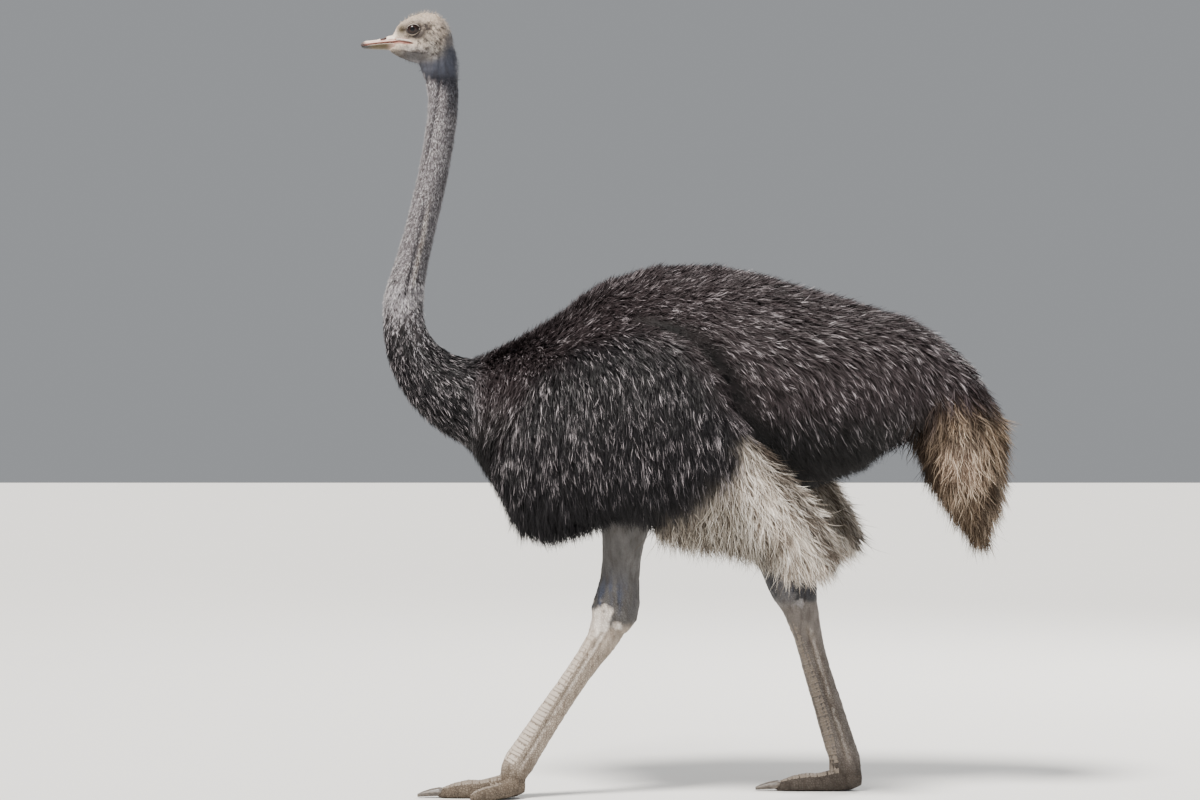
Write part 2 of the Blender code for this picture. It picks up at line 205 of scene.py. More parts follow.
class Shade:
    # one material and the nodes that it is made of
    def __init__(self, name, roughness, **fixed):
        self.material = bpy.data.materials.new(name)
        self.material.use_nodes = True
        self.tree = self.material.node_tree
        self.shader = self.tree.nodes["Principled BSDF"]
        self.shader.inputs["Roughness"].default_value = roughness
        for key, value in fixed.items():
            self.shader.inputs[key.replace("_", " ")].default_value = value

    def add(self, kind, settings=None, inputs=None, output=0):
        node = self.tree.nodes.new(kind)
        for key, value in (settings or {}).items():
            setattr(node, key, value)
        for key, value in (inputs or {}).items():
            self.feed(node.inputs[key], value)
        return Wire(self, node.outputs[output])

    def feed(self, socket, value):
        if isinstance(value, Wire):
            self.tree.links.new(value.socket, socket)
        else:
            socket.default_value = value

    def feedColour(self, socket, value):
        self.feed(socket, value if isinstance(value, Wire) else (*value, 1.0))

    def attribute(self, name, output="Fac"):
        return self.add("ShaderNodeAttribute", {"attribute_name": name}, output=output)

    def place(self):
        return self.add("ShaderNodeTexCoord", output="Object")

    def stretched(self, scale):
        return self.add("ShaderNodeMapping", None, {"Vector": self.place(), "Scale": scale})

    def noise(self, scale, detail=4.0, where=None):
        inputs = {"Vector": where or self.place(), "Scale": scale, "Detail": detail}
        return self.add("ShaderNodeTexNoise", None, inputs)

    def cells(self, scale):
        inputs = {"Vector": self.place(), "Scale": scale}
        return self.add("ShaderNodeTexVoronoi", {"feature": "DISTANCE_TO_EDGE"}, inputs)

    def blend(self, factor, first, second, blend="MIX"):
        settings = {"data_type": "RGBA", "blend_type": blend}
        made = self.add("ShaderNodeMix", settings, {0: factor}, 2)
        node = made.socket.node
        self.feedColour(node.inputs[6], first)
        self.feedColour(node.inputs[7], second)
        return made

    def colour(self, value):
        self.feedColour(self.shader.inputs["Base Color"], value)

    def roughness(self, value):
        self.feed(self.shader.inputs["Roughness"], value)

    def relief(self, height, distance, strength):
        inputs = {"Height": height, "Distance": distance, "Strength": strength}
        self.feed(self.shader.inputs["Normal"], self.add("ShaderNodeBump", None, inputs))


# floor, camera and lights
stage = {
    "floorSize": 60.0,
    "floorColour": (0.78, 0.77, 0.75),
    "floorCloud": (0.72, 0.71, 0.69),
    "skyColour": (0.84, 0.87, 0.91),
    "skyStrength": 0.38,
    "sunPlace": (3.6, -2.9, 7.4),
    "sunAngle": 16.0,  # degrees across: larger is softer
    "sunStrength": 7.8,
    "sunColour": (1.0, 0.965, 0.91),
    "lamps": (  # name, place, size, power and colour
        ("fill", (5.0, 3.5, 2.2), 4.0, 80.0, (0.88, 0.94, 1.0)),
        ("rim", (-4.2, 2.6, 4.2), 2.6, 300.0, (1.0, 0.98, 0.95)),
    ),
    "lampAim": (0, 0, 1.1),
    "cameraPlace": (8.0, -0.235, 1.081),  # level with the middle of the bird's height, on its left
    "lens": 87.3,
}


def setStage():
    bpy.ops.mesh.primitive_plane_add(size=stage["floorSize"], location=(0, 0, -0.0005))
    floor = bpy.context.object
    floor.name = "floor"
    shade = Shade("floorPlaster", 0.9)
    shade.colour(shade.blend(shade.noise(1.3) * 0.25, stage["floorColour"], stage["floorCloud"]))
    floor.data.materials.append(shade.material)
    world = bpy.data.worlds.new("softRoom")
    world.use_nodes = True
    background = world.node_tree.nodes["Background"]
    background.inputs["Color"].default_value = (*stage["skyColour"], 1.0)
    background.inputs["Strength"].default_value = stage["skyStrength"]
    bpy.context.scene.world = world
    bpy.ops.object.camera_add(location=stage["cameraPlace"], rotation=(math.pi / 2, 0, math.pi / 2))
    camera = bpy.context.object
    camera.data.sensor_width = 36.0
    camera.data.lens = stage["lens"]
    bpy.context.scene.camera = camera
    bpy.ops.object.light_add(type="SUN", location=stage["sunPlace"])
    sun = bpy.context.object
    sun.name = "key"
    sun.data.energy = stage["sunStrength"]
    sun.data.angle = math.radians(stage["sunAngle"])
    sun.data.color = stage["sunColour"]
    sun.rotation_euler = (-sun.location).to_track_quat("-Z", "Y").to_euler()
    for name, place, size, power, tint in stage["lamps"]:
        bpy.ops.object.light_add(type="AREA", location=place)
        lamp = bpy.context.object
        lamp.name = name
        lamp.data.shape = "DISK"
        lamp.data.size = size
        lamp.data.energy = power
        lamp.data.color = tint
        lamp.rotation_euler = (Vector(stage["lampAim"]) - lamp.location).to_track_quat("-Z", "Y").to_euler()


setStage()
print("stage set")


# skin
skinForm = {
    "voxel": 0.0036,
    "swell": 0.0007,  # closes the hairline gaps between neighbours before they are fused
    "bodyShare": 0.022,  # of the triangles under the plumage that are kept
    "neckShare": 0.42,
    "legShare": 0.42,
    "neckFrom": 1.36,  # heights at which the neck, the fine throat and the finest head mesh begin
    "throatFrom": 1.93,
    "headFrom": 1.985,
    "softFrom": 1.95,  # below this the mesh is smoothed less and the depth more
    "sideFrom": 0.08,  # how far off the middle plane the wings' partings begin
}
# how deep the skin lies under the solid: the coat's depth, by a node's name or by the first word of it
coatDepth = {
    "head": 0.0012, "neck_upper": 0.0022, "neck": 0.0024, "trunk": 0.014, "wing": 0.013, "tail": 0.019,
    "bill": 0.0022, "claw": 0.0018, "eye": 0.0, "drumstick": 0.0004, "shank": 0.0004, "toe": 0.0003,
}
eyeForm = {
    "openWide": 55.0,  # half angles of the opening, seen from the middle of the eyeball
    "openUp": 30.0,
    "openDown": 35.0,
    "lip": 0.0021,
    "fold": 0.0016,
    "irisColour": (0.020, 0.0095, 0.0078),
    "pupilColour": (0.004, 0.004, 0.005),
}
# the middle of the neck, from the throat down to the shoulders, as y and z
neckRun = [
    (-0.690, 2.060), (-0.669, 1.955), (-0.666, 1.890), (-0.691, 1.715), (-0.738, 1.515), (-0.776, 1.355),
    (-0.775, 1.280), (-0.753, 1.210), (-0.708, 1.147), (-0.643, 1.098), (-0.560, 1.073), (-0.460, 1.063),
]
nodeNames = sorted(nodes)
nodeNumber = {name: i for i, name in enumerate(nodeNames)}
sides = ("left", "right")
eyeCentre = {side: np.array((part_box("eye_" + side)[0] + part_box("eye_" + side)[1]) / 2) for side in sides}
eyeRadius = (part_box("eye_left")[1][2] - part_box("eye_left")[0][2]) / 2


def byNode(table):
    return [table.get(name, table.get(name.split("_")[0])) for name in nodeNames]


def belongs(owner, *names):
    return np.isin(owner, [nodeNumber[name] for name in names])


def wayAlong(p, run):
    # the direction of a path in the middle plane where it passes nearest to each point
    knots = np.array([(0.0, y, z) for y, z in run])
    best = np.full(len(p), 9.0)
    tangent = np.zeros((len(p), 3))
    for start, end in zip(knots[:-1], knots[1:]):
        step = end - start
        length = np.linalg.norm(step)
        t = np.clip(((p - start) @ step) / length ** 2, 0, 1)
        gap = np.linalg.norm((p - start - t[:, None] * step) * (0, 1, 1), axis=1)
        closer = gap < best
        best[closer] = gap[closer]
        tangent[closer] = step / length
    return tangent


def nearestNode(points):
    corners, faces, owners = [], [], []
    for name in nodeNames:
        start = len(corners)
        mesh = nodes[name].data
        corners += [v.co.copy() for v in mesh.vertices]
        for face in mesh.polygons:
            faces.append([start + i for i in face.vertices])
            owners.append(nodeNumber[name])
    tree = BVHTree.FromPolygons(corners, faces)
    return np.array([owners[tree.find_nearest(Vector(p))[2]] for p in points])


def keepShare(piece, chosen, share):
    # thins the chosen part of a mesh to about this share of its triangles
    group = piece.vertex_groups.new(name="thin")
    group.add([int(i) for i in np.nonzero(chosen)[0]], 1.0, "REPLACE")
    total = len(piece.data.polygons)
    applyModifier(piece, "DECIMATE", ratio=1 - chosen.mean() * (1 - share), vertex_group="thin")
    piece.vertex_groups.clear()
    print("thinned", total, "faces to", len(piece.data.polygons))


def subdivideWhere(piece, chosen):
    pick(piece)
    bpy.ops.object.mode_set(mode="EDIT")
    bpy.ops.mesh.select_mode(type="VERT")
    bpy.ops.mesh.select_all(action="DESELECT")
    bpy.ops.object.mode_set(mode="OBJECT")
    piece.data.vertices.foreach_set("select", chosen)
    bpy.ops.object.mode_set(mode="EDIT")
    bpy.ops.mesh.select_mode(type="FACE")
    bpy.ops.mesh.subdivide(number_cuts=1)
    bpy.ops.mesh.quads_convert_to_tris()
    bpy.ops.object.mode_set(mode="OBJECT")


def onLeg(p):
    return (p[:, 2] < 0.76) & (np.abs(p[:, 0]) < 0.165) & (p[:, 1] < 0.5)


def gaze(side):
    return unit(np.array((1 if side == "left" else -1, -0.10, 0.02)))


def neckMiddle(height):
    # how far back the middle of the neck lies at a height
    knots = np.array(neckRun)[::-1]
    return np.interp(height, knots[:, 1], knots[:, 0])


def aroundEye(p, side):
    # distance from the eyeball's middle, how far out a point is in openings of the lids, its angle above
    # the eye's own level, and its place from the middle
    out = gaze(side)
    fore = unit(np.array((0, -1, 0)) + out * out[1])
    up = np.cross(out, fore)
    up = up * np.sign(up[2])
    away = p - eyeCentre[side]
    far = np.linalg.norm(away, axis=1)
    level = np.degrees(np.arctan2(away @ fore, away @ out))
    rise = np.degrees(np.arctan2(away @ up, away @ out)) + level * 0.08
    tall = np.where(rise > 0, eyeForm["openUp"] - 0.10 * level, eyeForm["openDown"])
    reach = np.sqrt((level / eyeForm["openWide"]) ** 2 + (rise / tall) ** 2)
    reach = reach + np.maximum(0, far - 0.029) / 0.009  # a point off the lids counts as further out
    reach = np.where((away @ out > 0) & (far < 0.06), reach, 9.0)
    return far, reach, rise, away


def shapeEye(p, side):
    far, reach, rise, away = aroundEye(p, side)
    lid = eyeRadius + eyeForm["lip"]
    goal = eyeRadius - 0.003 + (eyeForm["lip"] + 0.003) * ease(reach, 0.88, 1.02)
    goal = np.where(reach > 1.0, lid - 0.0006 * ease(reach, 1.05, 1.4), goal)
    new = goal + (np.maximum(far, lid) - goal) * ease(reach, 1.18, 1.95)
    above = ease(rise, -6, 8) * ease(away[:, 1], 0.034, 0.018)
    new = new - eyeForm["fold"] * bump(reach - 1.46, 0.13) * above
    new = new + 0.0011 * bump(reach - 1.80, 0.22) * above  # brow
    new = new - 0.0008 * bump(reach - 1.42, 0.10) * (1 - above)
    new = np.where(reach < 2.6, new, far)
    return eyeCentre[side] + away * (new / np.maximum(far, 1e-6))[:, None]


def lineGap(p, ends):
    # distance in the side view from a straight line
    start, end = np.array(ends[0]), np.array(ends[1])
    step = end - start
    t = np.clip(((p[:, 1:] - start) @ step) / (step @ step), 0, 1)
    return np.linalg.norm(p[:, 1:] - start - t[:, None] * step, axis=1)


# where the wing's upper edge tucks in under the feathers of the back, as y and z
creaseLine = [
    (-0.150, 1.302), (-0.080, 1.286), (0.012, 1.253), (0.060, 1.207), (0.100, 1.155), (0.133, 1.087),
    (0.172, 1.030), (0.205, 0.985),
]
# the row of paler feathers just below it
wingEdge = [
    (-0.062, 1.262), (-0.010, 1.242), (0.042, 1.196), (0.086, 1.125), (0.128, 1.046), (0.172, 0.985),
    (0.195, 0.940),
]
plumeRun = (0.561, -0.828)  # the way the plumes of a wing point, as y and z


def gapTo(p, line):
    return np.min([lineGap(p, ends) for ends in zip(line[:-1], line[1:])], axis=0)


def creaseGap(p):
    narrow = 1.22 + 0.85 * ease(p[:, 1], 0.05, -0.07)  # the parting starts thin and opens towards the rear
    return gapTo(p, creaseLine) * narrow


def plumeDepth(p):
    # how far a point of a wing's plumes lies below their upper rear edge
    right = p[:, 0] < 0
    y = p[:, 1] - 0.192 - 0.105 * right
    z = p[:, 2] - 1.001 - 0.030 * right
    return plumeRun[1] * y - plumeRun[0] * z


def spot(p, y, z, wide, tall):
    return np.exp(-(((p[:, 1] - y) / wide) ** 2) - ((p[:, 2] - z) / tall) ** 2)


def ripple(p, size, seed):
    # soft noise between about -1 and 1, with humps of this size
    maker = np.random.default_rng(seed)
    total = np.zeros(len(p))
    for _ in range(8):
        wave = unit(maker.normal(size=3)) * maker.uniform(0.6, 1.6) * 3.1 / size
        total += np.sin(p @ wave + maker.uniform(0, 6.3))
    return total / 3.2


def mouthHeight(y):
    # the line between the halves of the bill, from its tip to the corner of the mouth
    heights = (2.0560, 2.0568, 2.0606, 2.0640, 2.0600, 2.0568)
    return np.interp(y, (-0.892, -0.877, -0.840, -0.785, -0.760, -0.748), heights)


def gapeBand(p):
    # the bare strip along the mouth behind the bill, and how near its corner a point is
    above = p[:, 2] - mouthHeight(p[:, 1])
    tall = 0.0095 * ease(p[:, 1], -0.738, -0.768) + 0.0002
    tall = tall * np.where(above > 0, 1.0, 0.62)
    beside = ease(np.abs(p[:, 0]), 0.012, 0.020)
    strip = ease(np.abs(above) / tall, 1.25, 0.85) * ease(p[:, 1], -0.743, -0.750) * beside
    return strip, beside * ease(p[:, 1], -0.744, -0.748)


jawLine = ((-0.812, 2.0435), (-0.722, 2.0300))
earPlace = (-0.6862, 2.0582)


def shapeHead(p, n):
    onHead = ease(p[:, 2], 1.985, 2.005)
    beside = ease(np.abs(p[:, 0]), 0.010, 0.022)
    crease = bump(lineGap(p, jawLine), 0.0028) * ease(p[:, 1], -0.82, -0.80) * beside
    ear = spot(p, *earPlace, 0.0045, 0.0060) * beside
    cheek = spot(p, -0.713, 2.047, 0.026, 0.016) * beside
    lore = spot(p, -0.780, 2.090, 0.012, 0.012) * beside
    rough = ripple(p, 0.006, 5) * 0.00022
    strip, corner = gapeBand(p)
    above = p[:, 2] - mouthHeight(p[:, 1])
    mouth = strip * (0.0008 + 0.0010 * bump(above - 0.0050, 0.0022) - 0.0036 * bump(above, 0.0017))
    mouth = mouth - 0.0010 * corner * bump(above, 0.0022)
    push = -0.0013 * crease - 0.0042 * ear + 0.0016 * cheek - 0.0018 * lore + rough + mouth
    return p + n * (push * onHead)[:, None]


# the two grooves down each side of the neck, as y and z
upperGroove = [(-0.674, 2.020), (-0.675, 1.950), (-0.692, 1.841), (-0.718, 1.715)]
lowerGroove = [(-0.711, 1.640), (-0.7305, 1.533), (-0.755, 1.421), (-0.772, 1.335)]


def shapeNeck(p, n, owner):
    neck = belongs(owner, "neck_upper", "neck_middle", "neck_lower", "head")
    upper = bump(gapTo(p, upperGroove), 0.0048) * ease(p[:, 2], 1.705, 1.790)
    lower = bump(gapTo(p, lowerGroove), 0.0055) * ease(p[:, 2], 1.665, 1.570)
    groove = np.maximum(upper, lower) * ease(np.abs(p[:, 0]), 0.008, 0.020)
    rings = ripple(p * (0.5, 0.5, 1.4), 0.016, 9)
    reach = ease(p[:, 2], 1.32, 1.39) * ease(p[:, 2], 2.04, 2.01) * neck
    ridge = bump(gapTo(p, lowerGroove) - 0.011, 0.005) * ease(p[:, 2], 1.66, 1.57)
    push = (-0.0034 * groove + 0.0012 * ridge + 0.0005 * rings) * reach
    return p + n * push[:, None], groove * reach


# each shank's middle line, from the hock to the foot, as y and z
shankLine = {"left": ((-0.204, 0.496), (-0.479, 0.048)), "right": ((0.313, 0.530), (0.457, 0.042))}


def shankFront(side):
    # the direction that the front of a shank faces, and the middle line's own place along it
    start, end = np.array(shankLine[side][0]), np.array(shankLine[side][1])
    run = unit(end - start)
    front = np.array((run[1], -run[0]))
    return front, float(front @ start)


def shapeLegs(p, n, owner):
    push = np.zeros(len(p))
    for side in sides:
        shank = owner == nodeNumber["shank_" + side]
        drum = owner == nodeNumber["drumstick_" + side]
        folds = 0.0012 * ripple(p * (1.0, 1.6, 0.35), 0.022, 3)  # they run down the thigh
        push += np.where(drum, folds, 0)
        front, start = shankFront(side)
        ahead = p[:, 1:] @ front - start
        groove = bump(ahead + 0.001, 0.0050) + 0.6 * bump(ahead + 0.014, 0.0040)
        span = ease(p[:, 2], 0.47, 0.44) * ease(p[:, 2], 0.07, 0.12)
        push += np.where(shank, 0.0004 * ripple(p, 0.012, 4) - 0.0024 * groove * span, 0)
    low = ease(p[:, 2], 0.80, 0.70)
    return p + n * (push * low)[:, None]


def fusedSkin():
    # all the nodes in one closed mesh, fine on the head and coarse where the plumage hides it
    skin = copyOfNodes("skin", nodeNames)
    putPoints(skin, pointsOf(skin) + normalsOf(skin) * skinForm["swell"])
    remeshed(skin, skinForm["voxel"])
    applyModifier(skin, "TRIANGULATE")
    p = pointsOf(skin)
    keepShare(skin, ~onLeg(p) & (p[:, 2] < skinForm["neckFrom"]), skinForm["bodyShare"])
    p = pointsOf(skin)
    onNeck = (p[:, 2] > skinForm["neckFrom"]) & (p[:, 2] < skinForm["throatFrom"])
    keepShare(skin, onNeck, skinForm["neckShare"])
    keepShare(skin, onLeg(pointsOf(skin)), skinForm["legShare"])
    subdivideWhere(skin, pointsOf(skin)[:, 2] > skinForm["headFrom"])
    p = pointsOf(skin)
    high = p[:, 2] > skinForm["softFrom"]
    putPoints(skin, relaxed(p, edgesOf(skin), 6, np.where(high, 0.5, 0.25)))
    return skin


def sinkSkin(skin):
    # lowers the skin by the coat's depth and tucks the wings in under the back
    p = pointsOf(skin)
    edges = edgesOf(skin)
    owner = nearestNode(p)
    depth = np.array(byNode(coatDepth))[owner]
    depth = depth + belongs(owner, "neck_lower") * 0.007 * ease(p[:, 2], 1.40, 1.12)
    high = p[:, 2] > skinForm["softFrom"]
    depth = relaxed(depth, edges, 14, np.where(high, 0.15, 0.5))
    p = p - normalsOf(skin) * (depth + skinForm["swell"] * 0.6)[:, None]
    p = relaxed(p, edges, 5, np.where(depth > 0.008, 0.6, 0.0))
    putPoints(skin, p)
    wing = belongs(owner, "wing_left", "wing_right")
    trunk = belongs(owner, "trunk")
    tuck = bump(creaseGap(p), 0.030) * (np.abs(p[:, 0]) > skinForm["sideFrom"])
    above = ease(p[:, 2], 1.17, 1.25)  # here the back covers the wing; lower down the wing covers the flank
    p = p + normalsOf(skin) * (tuck * above * (0.010 * trunk - 0.022 * wing))[:, None]
    p = p + normalsOf(skin) * (tuck * (1 - above) * (0.006 * wing - 0.020 * trunk))[:, None]
    putPoints(skin, p)


def sculptSkin(skin):
    # the head, the grooves of the neck and the folds of the legs; the mesh is doubled round the eyes first
    p = pointsOf(skin)
    near = np.minimum(*[np.linalg.norm(p - eyeCentre[side], axis=1) for side in sides]) < 0.029
    subdivideWhere(skin, near & (np.abs(p[:, 0]) > 0.012))
    p = pointsOf(skin)
    p = relaxed(p, edgesOf(skin), 3, np.where(p[:, 2] > 2.06, 0.5, 0.0))
    owner = nearestNode(p)
    putPoints(skin, p)
    p = shapeHead(p, normalsOf(skin))
    for side in sides:
        p = shapeEye(p, side)
    putPoints(skin, p)
    p, groove = shapeNeck(p, normalsOf(skin), owner)
    putPoints(skin, shapeLegs(p, normalsOf(skin), owner))
    return owner, groove


skin = fusedSkin()
sinkSkin(skin)
skinOwner, neckGroove = sculptSkin(skin)
print("skin", len(skin.data.polygons), "faces")


# markings: one set of colours for the skin and for the feathers that grow from it
tints = {
    "wing": (0.0068, 0.0056, 0.0076),
    # crease: painted shadow in the parting where the wing's edge meets the back
    "crease": (0.0022, 0.0018, 0.0020),
    "wingEdge": (0.085, 0.066, 0.062),
    "back": (0.0520, 0.0385, 0.0415),
    "belly": (0.0085, 0.0070, 0.0078),
    "plume": (0.74, 0.645, 0.540),
    "plumeShade": (0.165, 0.142, 0.108),
    "tail": (0.40, 0.290, 0.195),
    "tailPale": (0.66, 0.500, 0.385),
    "tailBrown": (0.050, 0.034, 0.024),
    "neck": (0.39, 0.372, 0.395),
    "neckDark": (0.045, 0.049, 0.066),
    "head": (0.82, 0.690, 0.560),
    "lore": (0.090, 0.068, 0.034),
    "earShade": (0.022, 0.018, 0.016),
    "cheek": (0.57, 0.525, 0.480),
    "throat": (0.074, 0.069, 0.067),
    "temple": (0.078, 0.064, 0.058),
    "billBase": (0.93, 0.780, 0.670),
    "gape": (0.46, 0.235, 0.190),
    "mouth": (0.085, 0.022, 0.018),
    "lidDark": (0.018, 0.014, 0.014),
    "lidBrown": (0.050, 0.036, 0.032),
    "lidShine": (0.88, 0.810, 0.740),
    "lidPale": (0.62, 0.540, 0.450),
    "leg": (0.37, 0.315, 0.262),
    "knee": (0.72, 0.660, 0.600),
    # the thigh darkened as painted shade: it lies in the shade of the wing
    "thigh": (0.098, 0.094, 0.092),
    "thighBlue": (0.050, 0.064, 0.108),
    "foot": (0.125, 0.098, 0.074),
}
# the first colour of each node's skin, by its name or by the first word of it
nodeTint = {
    "head": "head", "neck": "neck", "trunk": "back", "wing": "wing", "tail": "tail", "bill": "gape",
    "claw": "foot", "eye": "head", "drumstick": "thigh", "shank": "leg", "toe": "foot",
    "wing_plumes_left": "plume", "wing_plumes_right": "plume",
}


def mixed(base, goal, amount):
    return base + (np.array(goal) - base) * np.clip(amount, 0, 1)[:, None]


def tinted(base, name, amount):
    return mixed(base, tints[name], amount)


def firstTints(p, owner, edges):
    colour = np.array([tints[name] for name in byNode(nodeTint)])[owner]
    return relaxed(colour, edges, 3, np.where(p[:, 2] > skinForm["softFrom"], 0.3, 0.5))


def tailMarkings(p, owner, colour):
    y, z = p[:, 1], p[:, 2]
    trunk, tail = belongs(owner, "trunk"), belongs(owner, "tail")
    colour = tinted(colour, "belly", trunk * ease(z, 1.12, 0.98))
    rump = ease(y, 0.60, 0.66) * ease(z, 1.02, 1.10) * (trunk | tail)
    colour = tinted(colour, "back", rump * ease(ripple(p, 0.05, 21) + 12 * (z - 1.07), -0.7, 0.5))
    colour = tinted(colour, "tailBrown", tail * 0.85 * ease(ripple(p * (1, 1, 0.3), 0.024, 8), 0.0, 0.6))
    colour = tinted(colour, "tailPale", tail * spot(p, 0.750, 0.950, 0.050, 0.065) * 0.9)
    colour = tinted(colour, "plume", tail * spot(p, 0.870, 0.800, 0.030, 0.090) * 0.7)
    colour = tinted(colour, "tailBrown", tail * spot(p, 0.755, 0.800, 0.065, 0.085) * 0.50)
    return tinted(colour, "tailBrown", tail * ease(y + 0.01 * ripple(p, 0.02, 9), 0.705, 0.672) * 0.9)


def wingMarkings(p, owner, colour):
    plume = belongs(owner, "wing_plumes_left", "wing_plumes_right")
    deep = plumeDepth(p)
    colour = tinted(colour, "tailBrown", plume * bump(deep - 0.030, 0.019) * 0.95)
    lower = ease(deep + 0.02 * ripple(p, 0.05, 33), 0.105, 0.155)
    colour = tinted(colour, "plumeShade", plume * lower * 0.85)
    inward = (np.abs(p[:, 0]) < 0.225) & belongs(owner, "wing_plumes_right")
    inward |= (np.abs(p[:, 0]) < 0.205) & belongs(owner, "wing_plumes_left")
    colour = tinted(colour, "plumeShade", inward * 0.8)
    wing = belongs(owner, "wing_left", "wing_right")
    # painted shadow along the crease between the wing and the back, on the skin and the feather roots there
    feathered = (wing | belongs(owner, "trunk")) & (np.abs(p[:, 0]) > skinForm["sideFrom"])
    colour = tinted(colour, "crease", feathered * bump(creaseGap(p), 0.024))
    return tinted(colour, "wingEdge", wing * bump(gapTo(p, wingEdge), 0.009) * 0.9)


def neckMarkings(p, owner, colour, groove):
    y, z = p[:, 1], p[:, 2]
    neck = belongs(owner, "neck_upper", "neck_middle", "neck_lower")
    fleck = 1 + 0.45 * ripple(p * (1, 1, 0.65), 0.0085, 51) + 0.20 * ripple(p, 0.022, 52)
    fleck = 1 + (np.clip(fleck, 0.30, 1.60) - 1) * ease(z, 1.31, 1.36)
    colour = np.where(neck[:, None], colour * fleck[:, None], colour)
    edge = 1.285 + 0.030 * ripple(p * (1, 1, 0.22), 0.016, 12) + 0.9 * np.maximum(0, y + 0.735)
    colour = tinted(colour, "wing", neck * ease(z, edge + 0.095, edge - 0.085))
    upper = belongs(owner, "neck_upper", "neck_middle", "head")
    middle = neckMiddle(z)
    wander = z + 0.010 * ripple(p, 0.018, 17)
    rearDark = ease(y - middle, 0.002, 0.020) * ease(wander, 1.84, 1.90)
    topDark = ease(z + 0.013 * ripple(p * (1, 1, 0.4), 0.011, 17) + 0.25 * (y + 0.675), 1.936, 1.964)
    below = ease(z - 0.45 * (y + 0.70) + 0.006 * ripple(p, 0.012, 18), 2.044, 2.012) * ease(z, 2.07, 2.05)
    colour = tinted(colour, "neck", upper * ease(z, 2.06, 2.03) * ease(y, -0.80, -0.76))
    rearDark = rearDark * (1 - 0.32 * ease(wander, 1.99, 1.88))
    colour = tinted(colour, "neckDark", upper * below * np.maximum(rearDark, topDark) * 0.95)
    # painted shade: the rear of the neck darker, on the side away from the light
    rearShade = ease(y - middle, -0.004, 0.032) * ease(z, 1.33, 1.42)
    colour = tinted(colour, "neckDark", upper * rearShade * 0.50)
    # a pale stripe on the ridge beside the lower groove: a painted highlight
    knots = np.array(lowerGroove)[::-1]
    ridge = bump(gapTo(p, lowerGroove) - 0.012, 0.0045) * (y > np.interp(z, knots[:, 1], knots[:, 0]))
    colour = tinted(colour, "cheek", upper * ridge * ease(z, 1.66, 1.57) * 0.8)
    # painted shade in the neck's grooves
    return tinted(colour, "neckDark", 0.6 * groove)


def headMarkings(p, owner, colour):
    y, z = p[:, 1], p[:, 2]
    head = belongs(owner, "head") * 1.0
    beside = ease(np.abs(p[:, 0]), 0.008, 0.020)
    lower = ease(z - 2.036 + 0.15 * (y + 0.767), 0.004, -0.004) * ease(y, -0.675, -0.70)
    lower = lower * np.maximum(ease(z, 1.996, 2.020), ease(y, -0.735, -0.755))
    colour = tinted(colour, "throat", head * lower * 0.85)
    nape = ease(y - 0.42 * (z - 2.057) + 0.004 * ripple(p, 0.010, 23), -0.671, -0.659)
    nape = nape * ease(z, 2.128, 2.10)
    colour = tinted(colour, "neckDark", head * nape * 0.8)
    mottle = ease(ripple(p, 0.010, 26), 0.1, 0.7) * ease(z, 2.085, 2.10)
    colour = tinted(colour, "temple", head * mottle * 0.16)
    colour = tinted(colour, "lore", head * spot(p, -0.779, 2.096, 0.015, 0.016) * beside)
    uneven = np.clip(0.62 + 0.62 * ripple(p * (1, 0.8, 1.1), 0.0058, 28), 0.05, 1.1)
    patch = ease(spot(p, -0.697, 2.098, 0.036, 0.017), 0, 0.6)
    colour = tinted(colour, "temple", head * patch * beside * uneven)
    colour = tinted(colour, "temple", head * spot(p, -0.672, 2.084, 0.016, 0.026) * beside * 0.75 * uneven)
    colour = tinted(colour, "temple", head * spot(p, -0.7335, 2.0760, 0.019, 0.0090) * beside * 0.9)
    colour = tinted(colour, "cheek", head * spot(p, -0.695, 2.048, 0.024, 0.024) * beside)
    stubble = ease(ripple(p * (1, 1.2, 0.8), 0.0065, 27), -0.38, 0.28) * (1 - nape)
    stubble = stubble * ease(z, 2.086, 2.072) * ease(z + 0.15 * (y + 0.767), 2.030, 2.040)
    stubble = stubble * ease(y, -0.79, -0.77) * ease(np.hypot(y + 0.750, z - 2.058), 0.009, 0.020)
    colour = tinted(colour, "temple", head * stubble * beside * 0.90)
    colour = tinted(colour, "cheek", head * spot(p, -0.765, 2.044, 0.028, 0.008) * beside * 0.6)
    colour = tinted(colour, "earShade", head * spot(p, *earPlace, 0.0062, 0.0075) * beside)
    colour = tinted(colour, "earShade", head * bump(lineGap(p, jawLine), 0.0024) * beside * 0.7)
    return colour


def mouthMarkings(p, owner, colour):
    head = belongs(owner, "head") * 1.0
    above = p[:, 2] - mouthHeight(p[:, 1])
    strip = gapeBand(p)[0]
    colour = tinted(colour, "gape", head * strip)
    colour = tinted(colour, "lidShine", head * strip * bump(above - 0.0052, 0.0028))
    colour = tinted(colour, "mouth", head * strip * bump(above, 0.0021))
    return tinted(colour, "billBase", head * ease(p[:, 1], -0.786, -0.801) * ease(above, 0.006, 0.012))


